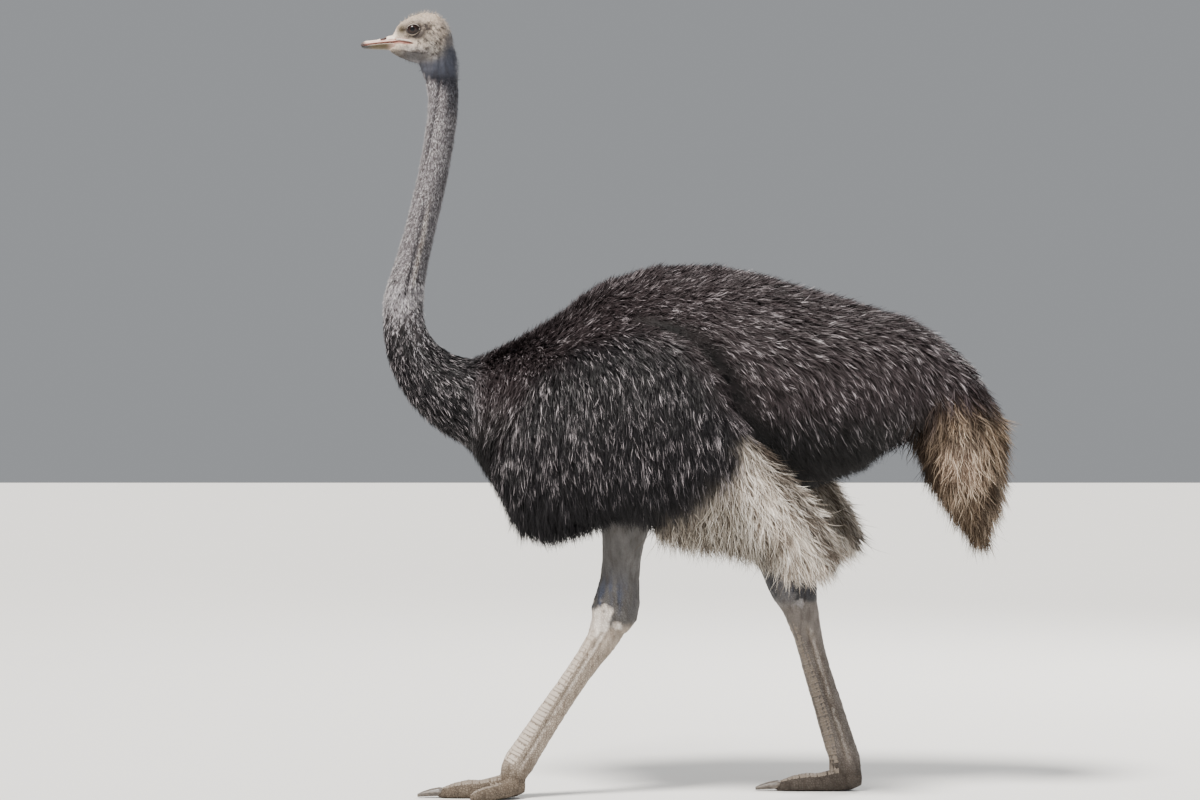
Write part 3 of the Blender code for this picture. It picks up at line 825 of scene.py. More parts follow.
def eyeMarkings(p, colour):
    # from the shaded hollow round the eye inwards to the lids
    y, z = p[:, 1], p[:, 2]
    beside = ease(np.abs(p[:, 0]), 0.008, 0.020)
    for side in sides:
        far, reach = aroundEye(p, side)[:2]
        ahead, tall = y - eyeCentre[side][1], z - eyeCentre[side][2]
        below = ease(tall, 0.003, -0.008)
        outward = np.where(far < 0.07, np.hypot(ahead / 0.0205, tall / 0.0175), 9.0)
        halo = 0.30 + 0.50 * below * ease(ahead, -0.012, 0.006)
        colour = tinted(colour, "temple", ease(outward, 1.9, 1.1) * halo * beside)
        rear = ease(ahead, 0.004, 0.018) * (0.45 + 0.55 * below)
        colour = tinted(colour, "temple", ease(outward, 2.3, 1.2) * rear * beside * 0.7)
        over = (1 - below) * ease(np.abs(ahead - 0.002), 0.025, 0.016)
        # a thin dark line above the upper lid: painted shade in the lid's fold
        colour = tinted(colour, "lidDark", bump(outward - 0.97, 0.06) * over * 0.30)
        colour = tinted(colour, "lidShine", bump(outward - 0.85, 0.05) * over)
        colour = tinted(colour, "lidPale", bump(reach - 1.23, 0.085) * (0.25 + 0.75 * below))
        colour = tinted(colour, "lidBrown", ease(reach, 1.15, 1.08))
        colour = tinted(colour, "lidDark", ease(reach, 1.03, 0.99))
    return colour


# the joint between thigh and shank, as y and z, how pale the skin over it is, and a painted shade over the
# whole leg: the right leg stands in the shade of the body
kneeForm = {
    "left": {"place": (-0.235, 0.487), "pale": 0.95, "shade": (1, 1, 1)},
    "right": {"place": (0.274, 0.537), "pale": 0.25, "shade": (0.48, 0.50, 0.55)},
}


def legMarkings(p, owner, colour):
    z = p[:, 2]
    leg = np.zeros(len(p))
    for side, form in kneeForm.items():
        knee = form["place"]
        on = belongs(owner, *[part + side for part in ("drumstick_", "shank_", "toe_inner_", "toe_outer_")])
        leg += on
        # painted shade: the thigh above the knee darker, in the shade of the wing
        colour = tinted(colour, "thigh", on * ease(z, knee[1] - 0.03, knee[1] + 0.04) * 0.9)
        blue = spot(p, knee[0] + 0.022, knee[1] + 0.058, 0.050, 0.052)
        blue = blue * ease(z, knee[1] - 0.01, knee[1] + 0.02)
        streaks = ease(ripple(p * (1, 1, 0.15), 0.012, 46), -0.6, 0.5)
        colour = tinted(colour, "thighBlue", on * blue * streaks * 0.85)
        colour = tinted(colour, "leg", on * ease(z, knee[1] - 0.005, knee[1] - 0.035))
        near = spot(p, *knee, 0.034, 0.042)
        torn = ease(near + 0.22 * ripple(p, 0.014, 44), 0.30, 0.50) * ease(near, 0.04, 0.16)
        colour = tinted(colour, "knee", on * torn * form["pale"])
        second = spot(p, knee[0] + 0.046, knee[1] - 0.018, 0.014, 0.016)
        second = ease(second + 0.2 * ripple(p, 0.012, 45) * ease(second, 0.05, 0.2), 0.4, 0.6)
        colour = tinted(colour, "knee", on * second * 0.8)
        colour = tinted(colour, "foot", on * ease(z, 0.13, 0.04) * 0.9)
        # painted shade over the right leg
        colour = np.where(on[:, None], colour * form["shade"], colour)
        front, start = shankFront(side)
        ahead = p[:, 1:] @ front - start
        span = ease(z, 0.47, 0.44) * ease(z, 0.07, 0.12) * on
        seams = 0.75 * bump(ahead + 0.001, 0.0050) + 0.5 * bump(ahead + 0.014, 0.0035)
        colour = tinted(colour, "foot", span * seams)
        colour = tinted(colour, "knee", span * bump(ahead + 0.0075, 0.0040) * 0.5)
    mottle = 1 + 0.12 * ripple(p, 0.03, 31) + 0.08 * ripple(p, 0.009, 32)
    return np.where(leg[:, None] > 0, colour * mottle[:, None], colour), leg


def paintSkin():
    p = pointsOf(skin)
    edges = edgesOf(skin)
    colour = firstTints(p, skinOwner, edges)
    colour = tailMarkings(p, skinOwner, colour)
    colour = wingMarkings(p, skinOwner, colour)
    colour = neckMarkings(p, skinOwner, colour, neckGroove)
    colour = headMarkings(p, skinOwner, colour)
    colour = mouthMarkings(p, skinOwner, colour)
    colour = eyeMarkings(p, colour)
    colour, leg = legMarkings(p, skinOwner, colour)
    leg = relaxed(leg, edges, 4)
    knee = spot(p, -0.196, 0.52, 0.07, 0.06) + spot(p, 0.305, 0.57, 0.07, 0.06)
    addTint(skin, colour)
    feathered = 1 - np.clip(leg, 0, 1)
    # cover: where the plumage hides the skin, which the skin's material darkens there as painted shade
    cover = ease(p[:, 2], 1.99, 1.95) + 0.5 * ease(p[:, 2], 2.05, 2.08) * ease(p[:, 1], -0.802, -0.784)
    addAttribute(skin, "cover", feathered * cover)
    addAttribute(skin, "scaly", leg * (0.25 + 0.75 * np.clip(knee + ease(p[:, 2], 0.47, 0.35), 0, 1)))
    return np.clip(colour, 0, 1)


def skinMaterial():
    shade = Shade("birdSkin", 0.6, Specular_IOR_Level=0.14)
    tint = shade.attribute("tint", "Color")
    scaly = shade.attribute("scaly")
    cover = shade.attribute("cover")
    scales = shade.cells(150.0).ramp(0.0, 0.20)
    pores = shade.noise(420.0, 3.0)
    folds = shade.noise(1.0, 5.0, shade.stretched((95, 95, 24)))
    # painted shade on the skin under the plumage and the head's down
    under = shade.blend(cover, tint, (0.24, 0.22, 0.22), "MULTIPLY")
    # darker in the seams between the scales
    seamDarkened = shade.blend(scaly * (1 - scales) * 0.55, under, (0.40, 0.34, 0.29), "MULTIPLY")
    # darker along the folds: painted shade in the skin's folds
    foldShade = shade.blend(folds.ramp(0.42, 0.70) * 0.55, seamDarkened, (0.50, 0.45, 0.42), "MULTIPLY")
    shade.colour(shade.blend(pores.ramp(0.45, 0.75) * 0.45, foldShade, (0.62, 0.58, 0.55), "MULTIPLY"))
    shade.roughness(0.50 + 0.24 * folds)
    shade.relief(scales * scaly * 0.9 + folds * 0.7 + pores * 0.25, 0.0016, 0.9)
    return shade.material


skinTint = paintSkin()
skin.data.materials.append(skinMaterial())
skin.data.shade_smooth()
fleshWords = ("head", "neck", "trunk", "wing", "drumstick", "shank", "toe")
fleshNodes = [name for name in nodeNames if name.split("_")[0] in fleshWords]
finished(skin, [name for name in fleshNodes if not name.startswith("wing_plumes")])
print("skin painted")


# eyes
def eyeMaterial():
    shade = Shade("eyeGlass", 0.30, Coat_Weight=0.22, Coat_Roughness=0.13, Specular_IOR_Level=0.15)
    middle = (0, eyeCentre["left"][1] - 0.0020, eyeCentre["left"][2] + 0.0004)
    flat = shade.add("ShaderNodeVectorMath", {"operation": "MULTIPLY"}, {0: shade.place(), 1: (0, 1, 1)})
    away = shade.add("ShaderNodeVectorMath", {"operation": "DISTANCE"}, {0: flat, 1: middle}, 1)
    fibres = shade.noise(900.0, 3.0)
    iris = shade.blend(away.ramp(0.007, 0.0145), eyeForm["irisColour"], (0.010, 0.006, 0.005))
    iris = shade.blend(fibres.ramp(0.35, 0.75) * 0.5, iris, (0.042, 0.021, 0.015))
    rim = shade.blend(away.ramp(0.0140, 0.0165), iris, (0.008, 0.005, 0.005))
    shade.colour(shade.blend(away.ramp(0.0060, 0.0072), eyeForm["pupilColour"], rim))
    return shade.material


def makeEye(side, material):
    bpy.ops.object.select_all(action="DESELECT")
    bpy.ops.mesh.primitive_uv_sphere_add(
        segments=56, ring_count=28, radius=eyeRadius - 0.0004, location=tuple(eyeCentre[side])
    )
    eye = bpy.context.object
    eye.name = "eyeball_" + side
    bpy.ops.object.transform_apply(location=True, rotation=True, scale=True)
    away = pointsOf(eye) - eyeCentre[side]
    facing = unit(away) @ gaze(side)
    grow = 1 + 0.045 * ease(facing, 0.80, 1.0)  # the clear front bulges
    putPoints(eye, eyeCentre[side] + away * grow[:, None])
    eye.data.materials.append(material)
    eye.data.shade_smooth()
    finished(eye, ["eye_" + side])


eyeGlass = eyeMaterial()
for eyeSide in sides:
    makeEye(eyeSide, eyeGlass)
print("eyes made")


# bill
billForm = {
    "voxel": 0.0011,
    "ridgeColour": (0.93, 0.800, 0.690),
    "sideColour": (0.70, 0.470, 0.400),
    "mouthColour": (0.25, 0.085, 0.065),
    "lowerColour": (0.052, 0.041, 0.014),
    "tipColour": (0.040, 0.042, 0.045),
    "nostrilColour": (0.030, 0.007, 0.006),
    "nostril": (-0.8290, 2.0728),
}


def shapeBill(p, n, upper):
    y, z = p[:, 1], p[:, 2]
    beside = ease(np.abs(p[:, 0]), 0.002, 0.006)
    ny, nz = billForm["nostril"]
    slant = z - nz - 0.12 * (y - ny)
    slit = np.exp(-(((y - ny) / 0.0084) ** 4) - (slant / 0.0042) ** 2) * beside
    rim = np.exp(-(((y - ny) / 0.0115) ** 4) - (slant / 0.0062) ** 2) * beside
    above = z - mouthHeight(y)
    ridge = bump(above - 0.0062, 0.0016) * ease(y, -0.885, -0.87) * ease(y, -0.775, -0.80)
    nail = ease(y, -0.868, -0.874)
    if upper:
        push = -0.0020 * slit + 0.0008 * rim - 0.0006 * ridge + 0.0005 * nail
    else:
        under = ease(above, -0.003, -0.008)
        push = -0.0006 * bump(above + 0.0048, 0.0013) * ease(y, -0.89, -0.87) + 0.0003 * nail * under
        slit = slit * 0
    push = push + 0.00016 * ripple(p * (1, 0.4, 1), 0.004, 6)
    return p + n * push[:, None], slit


def paintBill(p, upper, slit):
    y = p[:, 1]
    above = p[:, 2] - mouthHeight(y)
    if upper:
        layers = [
            ("ridgeColour", ease(above, 0.004, 0.0085) * 0.9),
            ("mouthColour", ease(above, 0.0030, 0.0008) * 0.85),
            ("mouthColour", bump(above - 0.0062, 0.0011) * ease(y, -0.79, -0.81) * 0.35),
        ]
    else:
        layers = [
            ("lowerColour", ease(y, -0.780, -0.825) * 0.96),
            ("ridgeColour", bump(above + 0.0025, 0.0016) * 0.5),
            ("mouthColour", ease(above, -0.0016, -0.0002) * 0.8),
            ("tipColour", ease(y, -0.856, -0.874) * 0.75),
        ]
    layers.append(("tipColour", ease(y + 0.35 * above, -0.872, -0.886) * 0.9))
    layers.append(("nostrilColour", ease(slit, 0.08, 0.40)))
    colour = np.tile(billForm["sideColour"], (len(p), 1))
    for key, amount in layers:
        colour = mixed(colour, billForm[key], amount)
    return colour * (1 + 0.07 * ripple(p * (1, 0.4, 1), 0.007, 14))[:, None]


def billMaterial():
    shade = Shade("billHorn", 0.42, Specular_IOR_Level=0.30)
    tint = shade.attribute("tint", "Color")
    grain = shade.noise(1.0, 4.0, shade.stretched((700, 130, 700)))
    flakes = shade.noise(260.0, 4.0)
    shade.colour(shade.blend(grain.ramp(0.42, 0.75) * 0.45, tint, (0.62, 0.53, 0.48), "MULTIPLY"))
    shade.roughness(0.34 + 0.30 * flakes)
    shade.relief(grain * 0.6 + flakes * 0.5, 0.0006, 0.7)
    return shade.material


def makeBill(node, upper, material):
    bill = copyOfNodes(node + "_horn", [node])
    remeshed(bill, billForm["voxel"])
    applyModifier(bill, "TRIANGULATE")
    p = relaxed(pointsOf(bill), edgesOf(bill), 5)
    putPoints(bill, p)
    p, slit = shapeBill(p, normalsOf(bill), upper)
    putPoints(bill, p)
    addTint(bill, paintBill(p, upper, slit))
    bill.data.materials.append(material)
    bill.data.shade_smooth()
    finished(bill, [node])


billHorn = billMaterial()
makeBill("bill_upper", True, billHorn)
makeBill("bill_lower", False, billHorn)
print("bill made")


# claws
clawForm = {
    "voxel": 0.0016,
    "colour": (0.050, 0.042, 0.036),
    "paleColour": (0.17, 0.14, 0.115),
}


def clawMaterial():
    shade = Shade("clawHorn", 0.38)
    grain = shade.noise(1.0, 5.0, shade.stretched((420, 70, 420)))
    shade.colour(shade.blend(grain.ramp(0.35, 0.7), clawForm["colour"], clawForm["paleColour"]))
    shade.roughness(0.30 + 0.30 * grain)
    shade.relief(grain, 0.0008, 0.7)
    return shade.material


clawHorn = clawMaterial()
for clawSide in sides:
    claw = copyOfNodes("toenail_" + clawSide, ["claw_" + clawSide])
    remeshed(claw, clawForm["voxel"])
    putPoints(claw, relaxed(pointsOf(claw), edgesOf(claw), 4))
    claw.data.materials.append(clawHorn)
    claw.data.shade_smooth()
    finished(claw, ["claw_" + clawSide])
print("claws made")


# scutes: the broad scales down the front of the shanks and over the toes
scuteForm = {
    "rows": 5,
    "columns": 11,
    "lip": 0.0012,
    "colour": (0.44, 0.375, 0.315),
    "edgeColour": (0.19, 0.150, 0.118),
}
skinPoints = pointsOf(skin)
skinNormals = normalsOf(skin)
skinTree = BVHTree.FromObject(skin, bpy.context.evaluated_depsgraph_get())


def alongPath(distance, marks, knots):
    return np.array([np.interp(distance, marks, knots[:, k]) for k in range(3)])


def scutePoint(u, v, index, count, marks, knots, facing, spread):
    # the skin under one point of a scale, u across and v down it, and the way out of the limb there
    pitch = marks[-1] / count
    bow = 0.35 * pitch * (1 - u * u)
    uneven = 0.16 * math.sin(index * 2.4) + 0.10 * math.sin(index * 5.1 + 2 * u)
    at = np.clip((index + v * 1.12 + uneven) * pitch + bow - 0.2 * pitch, 0, marks[-1])
    middle = alongPath(at, marks, knots)
    tangent = unit(alongPath(at + 0.01, marks, knots) - alongPath(at - 0.01, marks, knots))
    front = unit(np.array(facing) - tangent * np.dot(facing, tangent))
    side = np.cross(tangent, front)
    angle = math.radians(spread) * u
    out = front * math.cos(angle) + side * math.sin(angle)
    hit = skinTree.ray_cast(Vector(middle + out * 0.07), Vector(-out))[0]
    ground = np.array(hit) if hit else middle + out * 0.02
    return ground, out


def scutesAlong(name, path, facing, count, spread, tone):
    # path runs down the middle of the limb; each scale is laid on the skin that it faces
    knots = np.array(path, float)
    spans = np.linalg.norm(np.diff(knots, axis=0), axis=1)
    marks = np.concatenate([[0], np.cumsum(spans)])
    points, faces, shades = [], [], []
    rows, columns = scuteForm["rows"], scuteForm["columns"]
    for index in range(count):
        first = len(points)
        fade = 0.25 + 0.75 * min(1.0, index / (0.4 * count))  # the upper scales are low and faint
        for row in range(rows + 1):
            v = min(row / (rows - 1), 1.0)
            for column in range(columns):
                u = -1 + 2 * column / (columns - 1)
                ground, out = scutePoint(u, v, index, count, marks, knots, facing, spread)
                rise = scuteForm["lip"] * fade * (0.10 + 0.90 * v) * math.sqrt(max(0.0, 1 - abs(u) ** 3.5))
                if row == rows:  # the last row turns down into the skin
                    rise = -0.0006
                rise -= 0.0006 * abs(u) ** 6
                points.append(ground + out * rise)
                shades.append((v * 0.8 + 0.2 * abs(u)) * (0.55 + 0.45 * fade))
        for row in range(rows):
            for column in range(columns - 1):
                a = first + row * columns + column
                faces.append((a, a + 1, a + columns + 1, a + columns))
    mesh = bpy.data.meshes.new(name)
    mesh.from_pydata([tuple(q) for q in points], [], faces)
    piece = addPiece(name, mesh)
    way = np.array([f.normal for f in mesh.polygons])
    if (way @ np.array(facing)).mean() < 0:
        mesh.flip_normals()
    addAttribute(piece, "edge", shades)
    addAttribute(piece, "dustAndShade", np.full(len(points), tone))
    mesh.materials.append(scuteHorn)
    mesh.shade_smooth()
    finished(piece)


def scuteMaterial():
    shade = Shade("scuteHorn", 0.45, Specular_IOR_Level=0.25)
    edge = shade.attribute("edge")
    dustAndShade = shade.attribute("dustAndShade")
    grain = shade.noise(330.0, 4.0)
    cloud = shade.noise(60.0, 3.0)
    base = shade.blend(cloud.ramp(0.35, 0.70) * 0.5, scuteForm["colour"], (0.40, 0.350, 0.310))
    # towards the foot's darker colour: dust on the toes, painted shade on the right shank
    base = shade.blend(dustAndShade, base, tints["foot"])
    base = shade.blend(edge.ramp(0.62, 1.0) * 0.60, base, scuteForm["edgeColour"])
    shade.colour(shade.blend(grain.ramp(0.45, 0.75) * 0.25, base, (0.56, 0.51, 0.46)))
    shade.roughness(0.36 + 0.30 * grain)
    shade.relief(grain * 0.7 + cloud * 0.3, 0.0006, 0.7)
    return shade.material


scuteHorn = scuteMaterial()
leftShank = [(0.094, -0.226, 0.455), (0.092, -0.300, 0.335), (0.089, -0.400, 0.178), (0.087, -0.460, 0.085)]
rightShank = [
    (-0.077, 0.330, 0.478), (-0.070, 0.372, 0.345), (-0.061, 0.425, 0.170), (-0.057, 0.445, 0.085),
]
# the last number is how far the scales take the foot's darker colour: painted shade on the right shank, which
# stands in the body's shadow, and dust on the toes
scutesAlong("scutes_shank_left", leftShank, (0.15, -0.85, 0.5), 34, 74, 0.0)
scutesAlong("scutes_shank_right", rightShank, (-0.15, -0.95, 0.3), 36, 74, 0.85)
toeTop = (0, -0.05, 1)
for footSide, x, y, out in (("left", 0.087, -0.474, 1), ("right", -0.057, 0.453, -1)):
    inner = [(x, y - 0.026, 0.030), (x, y - 0.090, 0.024), (x, y - 0.195, 0.016)]
    outer = [(0.038, 0.026, 0.026), (0.054, 0.060, 0.022), (0.078, 0.108, 0.016)]
    outer = [(x + out * aside, y - ahead, height) for aside, ahead, height in outer]
    scutesAlong("scutes_inner_" + footSide, inner, toeTop, 17, 58, 0.8)
    scutesAlong("scutes_outer_" + footSide, outer, toeTop, 10, 54, 0.8)
print("scutes made")


# coat
def skinFaces():
    skin.data.calc_loop_triangles()
    flat = np.empty(len(skin.data.loop_triangles) * 3, np.int32)
    skin.data.loop_triangles.foreach_get("vertices", flat)
    return flat.reshape(-1, 3)


skinTriangles = skinFaces()
skinCorners = skinPoints[skinTriangles]
skinAreas = np.linalg.norm(
    np.cross(skinCorners[:, 1] - skinCorners[:, 0], skinCorners[:, 2] - skinCorners[:, 0]), axis=1
) / 2


def ownedBy(*names):
    return belongs(skinOwner, *names) * 1.0


def scatter(weight, count, maker):
    # roots spread over the skin, denser where the weight is higher
    share = skinAreas * weight[skinTriangles].mean(1)
    heap = np.cumsum(share)
    picks = (np.arange(count) + maker.random(count)) / count * heap[-1]
    faces = np.minimum(np.searchsorted(heap, picks), len(heap) - 1)
    a, b = maker.random((2, count))
    over = a + b > 1
    a, b = np.where(over, 1 - a, a), np.where(over, 1 - b, b)
    mix = np.stack([1 - a - b, a, b], 1)[:, :, None]
    corners = skinTriangles[faces]
    blend = [(values[corners] * mix).sum(1) for values in (skinPoints, skinNormals, skinTint)]
    return blend[0], unit(blend[1]), blend[2]


def unrolled(p, start, end):
    # angle round an axis, and place along it: a cylinder opened flat
    start, end = np.array(start, float), np.array(end, float)
    axis = unit(end - start)
    away = p - start
    along = away @ axis
    flat = away - along[:, None] * axis
    side = unit(np.cross(axis, (1.0, 0.0, 0.02)))
    other = np.cross(axis, side)
    angle = np.arctan2(flat @ other, flat @ side)
    spots = []
    for value in (angle, along):
        low, high = value.min(), value.max()
        spots.append(0.004 + 0.992 * (value - low) / max(high - low, 1e-6))
    return np.stack(spots, 1)


def meshOfBlades(name, rings, tips, spots, tone, tint):
    # rings: blades x segments x left and right x 3; tips: blades x 3
    count, segments = rings.shape[:2]
    size = segments * 2 + 1
    points = np.concatenate([rings.reshape(count, -1, 3), tips[:, None, :]], 1)
    steps = np.arange(segments + 1) / segments
    along = np.concatenate([np.repeat(steps[:-1], 2), [1.0]])
    across = np.concatenate([np.tile([-1.0, 1.0], segments), [0.0]])
    pattern = []
    for k in range(segments - 1):
        pattern += [2 * k, 2 * k + 1, 2 * k + 3, 2 * k + 2]
    pattern += [2 * segments - 2, 2 * segments - 1, 2 * segments]
    pattern = np.array(pattern)
    loops = (np.arange(count)[:, None] * size + pattern[None, :]).ravel()
    starts = np.concatenate([np.arange(segments - 1) * 4, [4 * (segments - 1)]])
    starts = (np.arange(count)[:, None] * len(pattern) + starts[None, :]).ravel()
    mesh = bpy.data.meshes.new(name)
    mesh.vertices.add(count * size)
    mesh.vertices.foreach_set("co", points.astype(np.float32).ravel())
    mesh.loops.add(len(loops))
    mesh.loops.foreach_set("vertex_index", loops.astype(np.int32))
    mesh.polygons.add(len(starts))
    mesh.polygons.foreach_set("loop_start", starts.astype(np.int32))
    mesh.update(calc_edges=True)
    patch = np.stack([across, along * 2 - 1], 1)[pattern] * 0.0015
    sheet = mesh.uv_layers.new(name="OFBake")
    sheet.data.foreach_set("uv", (spots[:, None, :] + patch[None, :, :]).astype(np.float32).ravel())
    piece = addPiece(name, mesh)
    addAttribute(piece, "along", np.tile(along, count))
    addAttribute(piece, "tone", np.repeat(tone, size))
    addTint(piece, np.repeat(tint, size, 0))
    mesh.shade_smooth()
    return piece


tipRoom = 0.022  # how far tips may stick out past the bird's width
fullTurn = 6.28


def within(points):
    # tips that would stick out further are drawn in
    wide = cadBox[1][0]
    x = points[..., 0]
    beyond = np.maximum(np.abs(x) - wide, 0)
    points[..., 0] = np.where(beyond > 0, np.sign(x) * (wide + tipRoom * np.tanh(beyond / tipRoom)), x)
    return points


def growCoat(name, look, seed, weight, lie, axis, replaced=()):
    # locks of narrow blades that leave the skin along its lie and bend under their own weight;
    # axis is the line that the piece's map is rolled off from
    maker = np.random.default_rng(seed)
    places, normals, tint = scatter(weight, look["locks"] // (1), maker)
    count = len(places)
    flow = lie(places)
    flow = unit(flow - normals * (flow * normals).sum(1, keepdims=True))
    across = np.cross(normals, flow)
    swing = np.radians(look["swirl"]) * (0.6 * ripple(places, 0.09, seed) + 0.5 * maker.normal(size=count))
    turn = np.stack([np.cos(swing), np.sin(swing)])[:, :, None]
    flow, across = flow * turn[0] + across * turn[1], across * turn[0] - flow * turn[1]
    spots = unrolled(places, *axis)
    if look["speckle"]:  # a lock is either black or pale where the two meet
        black, grey = np.array(tints["wing"]), np.array(tints["neck"])
        pale = np.clip((tint[:, 0] - black[0]) / (grey[0] - black[0]), 0, 1)
        chance = ease(pale + 0.30 * maker.normal(size=count), 0.24, 0.76)
        split = (pale > 0.02) & (pale < 0.98) & (places[:, 2] < look["speckleTo"])
        tint = np.where(split[:, None], black + chance[:, None] * (grey - black), tint)
    length = look["length"](places) * (0.85 + 0.3 * maker.random(count))
    lockTone = maker.random(count) * look["shine"](places)
    lockSide = maker.normal(size=count) * look["bend"]
    lockPhase = maker.random(count)
    lock = np.repeat(np.arange(count), look["blades"])
    total = len(lock)
    u = maker.uniform(-1, 1, total) * look["spread"]
    v = maker.uniform(-1, 1, total) * look["spread"] * 1.6
    n, f, a = normals[lock], flow[lock], across[lock]
    root = places[lock] + a * u[:, None] + f * v[:, None] - n * 0.0012
    reach = length[lock] * maker.uniform(0.70, 1.15, total)
    lift = np.radians(look["lift"](places)[lock] * maker.uniform(0.5, 1.5, total))
    side = lockSide[lock] + maker.normal(size=total) * look["bend"] * 0.6
    phase = fullTurn * (lockPhase[lock] + maker.normal(size=total) * 0.06)
    roll = np.radians(maker.normal(size=total) * look["roll"])
    fall = look["droop"] * (1 - np.maximum(0, n[:, 2]))
    down = np.array((0, 0, -1.0))
    wide = look["width"] * maker.uniform(0.7, 1.25, total)
    segments = look["segments"]

    def at(t):
        # where each blade is, t of the way to its tip
        forward = reach * t * np.cos(lift)
        away = reach * (t * np.sin(lift) + look["curl"] * t ** 3)
        wave = look["wave"] * np.sin(phase + fullTurn * look["turns"] * t) * t
        sideways = -u * look["gather"] * t + reach * (side * t * t + wave)
        place = root + f * forward[:, None] + n * away[:, None] + a * sideways[:, None]
        place = place + n * (reach * look["wave"] * 0.5 * np.cos(phase * 1.7 + 5 * t) * t)[:, None]
        return place + down * (fall * reach * t * t)[:, None]

    rings = np.empty((total, segments, 2, 3))
    for s in range(segments):
        t = s / segments
        place = at(t)
        run = unit(at(t + 0.04) - at(max(t - 0.04, 0.0)))
        flat = unit(np.cross(n, run))
        tall = np.cross(run, flat)
        edge = flat * np.cos(roll)[:, None] + tall * np.sin(roll)[:, None]
        half = wide * 0.5 * (0.62 + 0.38 * math.sin(math.pi * min(t / 0.8, 1.0))) * (1 - t ** 3)
        rings[:, s, 0] = place - edge * half[:, None]
        rings[:, s, 1] = place + edge * half[:, None]
    tone = np.clip(0.62 * lockTone[lock] + 0.38 * maker.random(total) * look["shine"](places)[lock], 0, 1)
    piece = meshOfBlades(name, within(rings[:, :, ::-1]), within(at(1.0)), spots[lock], tone, tint[lock])
    piece.data.materials.append(feathers[look["feather"]])
    finished(piece, replaced)
    print(name, total, "blades", sum(len(face.vertices) - 2 for face in piece.data.polygons), "triangles")


# dark and deep darken dull blades and the roots, the roots as painted shade deep in the coat; tip and
# tipShare paint the ends, and a larger glint gives more pale ends, which on the black plumage are painted
# glints; with follow these stay dark where the marking is dark
plainFeather = {"follow": True, "gloss": 0.14, "toneSpan": (0.05, 0.75)}
featherForms = {
    # the pale ends of the black plumage are painted glints
    "plumageBlack": {
        "rough": 0.42, "dark": 0.80, "deep": 0.85, "tip": (0.62, 0.555, 0.580), "tipShare": 0.85,
        "glint": 0.40, "follow": False, "gloss": 0.26,
    },
    "plumeWhite": {
        "rough": 0.60, "dark": 0.96, "deep": 0.95, "tip": (0.97, 0.93, 0.87), "tipShare": 0.97, "glint": 0.62,
        "toneSpan": (0.28, 0.60),
    },
    "plumeTan": {
        "rough": 0.58, "dark": 0.97, "deep": 0.95, "tip": (0.92, 0.78, 0.62), "tipShare": 0.90, "glint": 0.50,
        "toneSpan": (0.38, 0.66),
    },
    "neckDown": {
        "rough": 0.60, "dark": 0.80, "deep": 0.6, "tip": (0.96, 0.93, 0.91), "tipShare": 0.95, "glint": 0.60,
        "gloss": 0.12,
    },
    "headDown": {
        "rough": 0.62, "dark": 0.80, "deep": 0.45, "tip": (0.95, 0.87, 0.78), "tipShare": 0.80, "glint": 0.60,
        "gloss": 0.10,
    },
    "darkBristle": {
        "rough": 0.55, "dark": 0.5, "deep": 0.3, "tip": (0.22, 0.18, 0.16), "tipShare": 0.5, "glint": 0.3,
        "follow": False, "gloss": 0.10,
    },
}


def featherMaterial(name, form):
    # a blade takes the marking at its root, darker there with painted shade, and paler towards some of the
    # tips, which on the black plumage are painted glints
    shade = Shade(name, form["rough"], Specular_IOR_Level=form["gloss"])
    tint = shade.attribute("tint", "Color")
    along = shade.attribute("along")
    tone = shade.attribute("tone")
    streak = shade.noise(650.0, 2.0)
    # painted shade: the roots darker, deep in the coat
    root = form["deep"] * (1 - along.ramp(0.0, 0.60))
    rootShaded = shade.blend(root, tint, (0.12, 0.105, 0.10), "MULTIPLY")
    dull = (1 - tone.ramp(*form["toneSpan"])) * form["dark"]
    varied = shade.blend(dull, rootShaded, (0.22, 0.195, 0.185), "MULTIPLY")
    # pale ends: on the black plumage, painted glints
    pale = tone.ramp(1 - form["glint"], 1.0) * along.ramp(0.25, 0.85) * form["tipShare"]
    if form["follow"]:
        pale = pale * shade.attribute("tint").ramp(0.03, 0.42)
    shade.colour(shade.blend(pale, varied, form["tip"]))
    shade.roughness(form["rough"] - 0.12 + 0.28 * streak + 0.30 * dull)
    shade.relief(streak + 0.6 * tone, 0.0005, 0.5)
    return shade.material


feathers = {name: featherMaterial(name, {**plainFeather, **form}) for name, form in featherForms.items()}


def patches(p):
    # glossier patches with more painted glints and duller, darker ones with painted shade, drawn out along
    # the lie
    return np.clip(0.94 + 0.11 * ripple(p * (1, 0.9, 0.6), 0.024, 61), 0.3, 1.10)


def underside(p):
    # 1 along the lower edge of the belly and rump, where the coat hangs in a fringe
    floor = np.interp(p[:, 1], (-0.30, 0.00, 0.20, 0.45, 0.62), (0.78, 0.80, 0.84, 0.93, 0.99))
    return ease(p[:, 2], floor + 0.05, floor)


def same(value):
    return lambda p: np.full(len(p), float(value))


